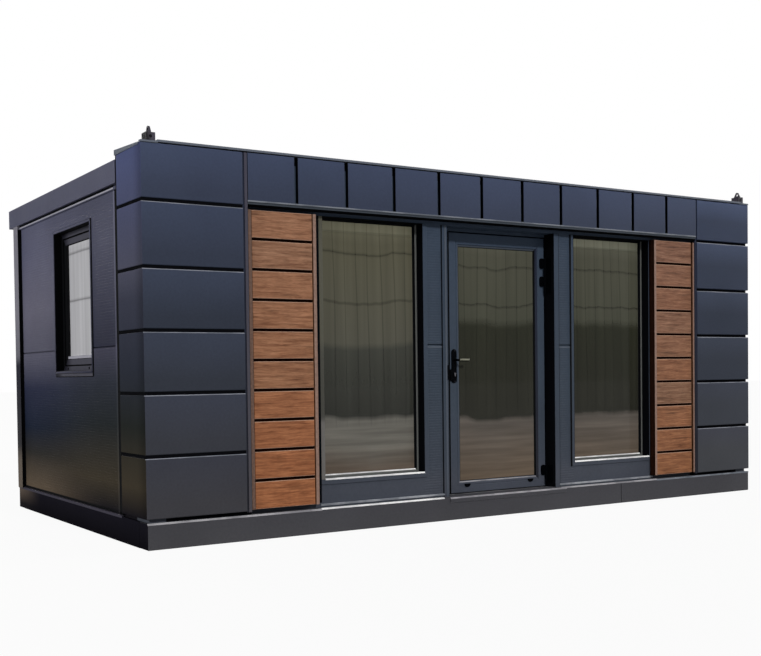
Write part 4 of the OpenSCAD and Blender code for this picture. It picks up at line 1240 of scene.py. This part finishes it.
bm = bmesh.new()
for low, high in islands("hinge_leaves"):
    face = high.y - 12 * MM
    middle = (low.z + high.z) / 2
    prism(bm, round_rect(low.x, PIN.x, low.z, high.z, 20 * MM, 7), "y", face, high.y)
    box(bm, *near(PIN.x, -9, 0), PIN.y, high.y - 1 * MM, low.z + 8 * MM, high.z - 8 * MM)
    rod(bm, PIN.x, PIN.y, "z", high.x - PIN.x, low.z, high.z, 28)
    rod(bm, low.x + 24 * MM, middle, "y", 21 * MM, *near(face, -5, 2), 28)
    rod(bm, low.x + 24 * MM, middle, "y", 10 * MM, *near(face, -8, -3), 20)
piece("hinge_plates", bm, "hardware", body="door", stands_for=("hinge_leaves",), bevel=0.0015)
bm = bmesh.new()
for low, high in islands("hinge_leaves"):
    rod(bm, PIN.x, PIN.y, "z", 5 * MM, *near(high.z, 0.5, 8), 20)
piece("hinge_pin_caps", bm, "hardware", bevel=0.001)

LEVER = BOX["handle_lever"]


def lever():
    """A bent round bar each side: a straight neck, a smooth turn, then a flattened grip."""
    bm = bmesh.new()
    for out, plate_y, tip_y in ((-1, front_plate[0].y, LEVER[0].y), (1, rear_plate[1].y, LEVER[1].y)):
        grip_y = tip_y - out * 7 * MM
        turn = 16 * MM
        path = [(AXIS.x, plate_y - out * 2 * MM)]
        path.append((AXIS.x, grip_y - out * turn))
        for i in range(1, 7):
            angle = math.pi / 2 * i / 6
            path.append((AXIS.x + turn * (1 - math.cos(angle)),
                         grip_y - out * turn * (1 - math.sin(angle))))
        for x in (40, 60, 80, 100, 112):
            path.append((AXIS.x + x * MM, grip_y))
        rings = []
        for k, (x, y) in enumerate(path):
            back = path[max(k - 1, 0)]
            ahead = path[min(k + 1, len(path) - 1)]
            along = Vector((ahead[0] - back[0], ahead[1] - back[1], 0)).normalized()
            across = Vector((-along.y, along.x, 0))
            grow = min(1, max(0, (k - 2) / 6))
            tall = 8 * MM + 2.5 * MM * grow
            thick = 8 * MM - 2.5 * MM * grow
            if k == len(path) - 1:
                tall, thick = tall * 0.8, thick * 0.7
            rings.append([bm.verts.new(Vector((x, y, AXIS.z)) + across * (thick * math.cos(a))
                                       + Vector((0, 0, tall * math.sin(a))))
                          for a in [2 * math.pi * i / 20 for i in range(20)]])
        skin(bm, rings)
        bm.faces.new(rings[0])
        bm.faces.new(list(reversed(rings[-1])))
        rod(bm, AXIS.x, AXIS.z, "y", 12 * MM, plate_y + out * 6 * MM, plate_y - out * 2 * MM)
    rod(bm, AXIS.x, AXIS.z, "y", 5 * MM, LEAF[0].y, LEAF[1].y, 16)
    obj = piece("lever_handle", bm, "lever", body="lever", stands_for=("handle_lever",), bevel=0.001,
                smooth=True)
    # The neck is black like the plate, and the grip's underside is painted black as well, a painted shade.
    repaint(obj, "hardware", lambda n, c: c.x < AXIS.x + 20 * MM or n.z < -0.1)
    return obj


lever()
STRIKE_X = LEAF[0].x - 10 * MM
boxes("strike_plate", "hardware", [
    (*near(STRIKE_X, -26, -1), *near(LEAF_Y, -3, 0), *near(AXIS.z, -155, -20)),
    (*near(reveal_x0, -9, 2), *near(face_y, -2.5, 12), *near(AXIS.z, -155, -40))],
    bevel=0.001)

# ---------------------------------------------------------------- inside
dress("floor_deck", "floor", 0)
LINING = 3 * MM
room_x0, room_x1 = ROOM_X, -ROOM_X
ceiling = ROOF[0].z
y_front = BOX["header_beam"][1].y
hole_y0, hole_y1, hole_z0, hole_z1 = HOLE
sides = [
    (room_x0, room_x0 + LINING, y_front, hole_y0, BASE_Z, ceiling),
    (room_x0, room_x0 + LINING, hole_y1, REAR_IN, BASE_Z, ceiling),
    (room_x0, room_x0 + LINING, hole_y0, hole_y1, BASE_Z, hole_z0),
    (room_x0, room_x0 + LINING, hole_y0, hole_y1, hole_z1, ceiling)]
front_parts = []
openings = [(FRONT_PANES[0][0].x - FRAME_W, FRONT_PANES[0][1].x + FRAME_W, SILLS[0][1].z),
            (DOOR_FRAME[0].x, DOOR_FRAME[1].x, BASE_Z),
            (FRONT_PANES[1][0].x - FRAME_W, FRONT_PANES[1][1].x + FRAME_W, SILLS[0][1].z)]
x = room_x0 + LINING
for start, end, bottom in openings:
    front_parts.append((x, start, y_front, y_front + LINING, BASE_Z, ceiling))
    front_parts.append((start, end, y_front, y_front + LINING, LINTEL_Z, ceiling))
    if bottom > BASE_Z:
        front_parts.append((start, end, y_front, y_front + LINING, BASE_Z, bottom))
    x = end
front_parts.append((x, room_x1 - LINING, y_front, y_front + LINING, BASE_Z, ceiling))
rear_part = [(room_x0 + LINING, room_x1 - LINING, REAR_IN - LINING, REAR_IN, BASE_Z, ceiling)]
top_part = [(room_x0 + LINING, room_x1 - LINING, y_front + LINING, REAR_IN - LINING, ceiling - LINING,
             ceiling)]
boxes("wall_lining", "lining", mirrored(sides) + front_parts + rear_part + top_part)
skirt = 60 * MM
boxes("skirting", "frame_light", mirrored([
    (room_x0 + LINING, room_x0 + 15 * MM, y_front + 15 * MM, REAR_IN - 15 * MM, BASE_Z, BASE_Z + skirt)])
    + [(room_x0 + LINING, room_x1 - LINING, REAR_IN - 15 * MM, REAR_IN - LINING, BASE_Z, BASE_Z + skirt)],
    bevel=0.002)


# ---------------------------------------------------------------- stage, light and camera
WHITE_SHARE = 0.94  # how much of the floor the camera sees as white; the rest keeps the shadow


def seen_rays(g):
    """1 for rays the camera sends, straight or through glass, 0 for light that falls on the object."""
    path = g.nodes.new("ShaderNodeLightPath")
    return g.math("MAXIMUM", path.outputs["Is Camera Ray"], path.outputs["Is Transmission Ray"])


def stage():
    bpy.ops.mesh.primitive_plane_add(size=160, location=(0, 0, 0))
    floor = bpy.context.object
    floor.name = "studio_floor"
    g = Finish("studio_floor")
    g.surface((0.38, 0.38, 0.38, 1), 0.9, 0.05)
    glow = g.node("Emission", {"Color": (1, 1, 1, 1), "Strength": 1.0})
    mix = g.node("MixShader", {0: g.math("MULTIPLY", seen_rays(g), WHITE_SHARE),
                               1: g.nodes["Principled BSDF"].outputs[0], 2: glow})
    g.links.new(mix, g.nodes["Material Output"].inputs["Surface"])
    floor.data.materials.append(g.mat)


def backdrop(scene):
    """A weak sky that lights the object and a white that only the camera and the glass see."""
    scene.world = bpy.data.worlds.new("studio")
    scene.world.use_nodes = True
    g = Graph(scene.world.node_tree)
    back = g.nodes["Background"]
    g.fill(back, {"Color": (0.95, 0.975, 1.0, 1), "Strength": 0.28})
    white = g.node("Background", {"Color": (1, 1, 1, 1), "Strength": 1.0})
    mix = g.node("MixShader", {0: seen_rays(g), 1: back.outputs[0], 2: white})
    g.links.new(mix, g.nodes["World Output"].inputs["Surface"])


def sun(scene, name, energy, spread, toward):
    light = bpy.data.lights.new(name, "SUN")
    light.energy = energy
    light.angle = math.radians(spread)
    light.color = (1.0, 0.985, 0.96)
    obj = bpy.data.objects.new(name, light)
    scene.collection.objects.link(obj)
    obj.rotation_euler = Vector(toward).to_track_quat("Z", "Y").to_euler()


def view(scene, eye, yaw, pitch, roll):
    """A camera at eye, turned yaw from +Y towards +X, then pitched up and rolled, in radians."""
    forward = Vector((math.sin(yaw) * math.cos(pitch), math.cos(yaw) * math.cos(pitch),
                      math.sin(pitch)))
    level = Vector((math.cos(yaw), -math.sin(yaw), 0))
    up = level.cross(forward)
    right = math.cos(roll) * level + math.sin(roll) * up
    up = math.cos(roll) * up - math.sin(roll) * level
    camera = bpy.data.objects.new("camera", bpy.data.cameras.new("camera"))
    scene.collection.objects.link(camera)
    camera.matrix_world = Matrix((
        (right.x, up.x, -forward.x, eye[0]), (right.y, up.y, -forward.y, eye[1]),
        (right.z, up.z, -forward.z, eye[2]), (0, 0, 0, 1)))
    camera.data.sensor_width = 36
    camera.data.lens = 51.42
    camera.data.shift_x, camera.data.shift_y = 0.0715, 0.0975
    camera.data.clip_end = 200
    scene.camera = camera


stage()
scene = bpy.context.scene
scene.view_settings.view_transform = "Standard"
backdrop(scene)
# The key light comes over the viewer's shoulder; three weak ones keep the other walls readable.
sun(scene, "key_sun", 1.85, 5, (0.06, -0.80, 0.60))
sun(scene, "left_fill", 1.7, 25, (-1.0, -0.12, 0.35))
sun(scene, "right_fill", 1.7, 25, (1.0, -0.12, 0.35))
sun(scene, "rear_fill", 1.6, 25, (0.1, 1.0, 0.4))
view(scene, (-5.6505, -8.1964, 1.1384), 0.5457, -0.0260, -0.0134)
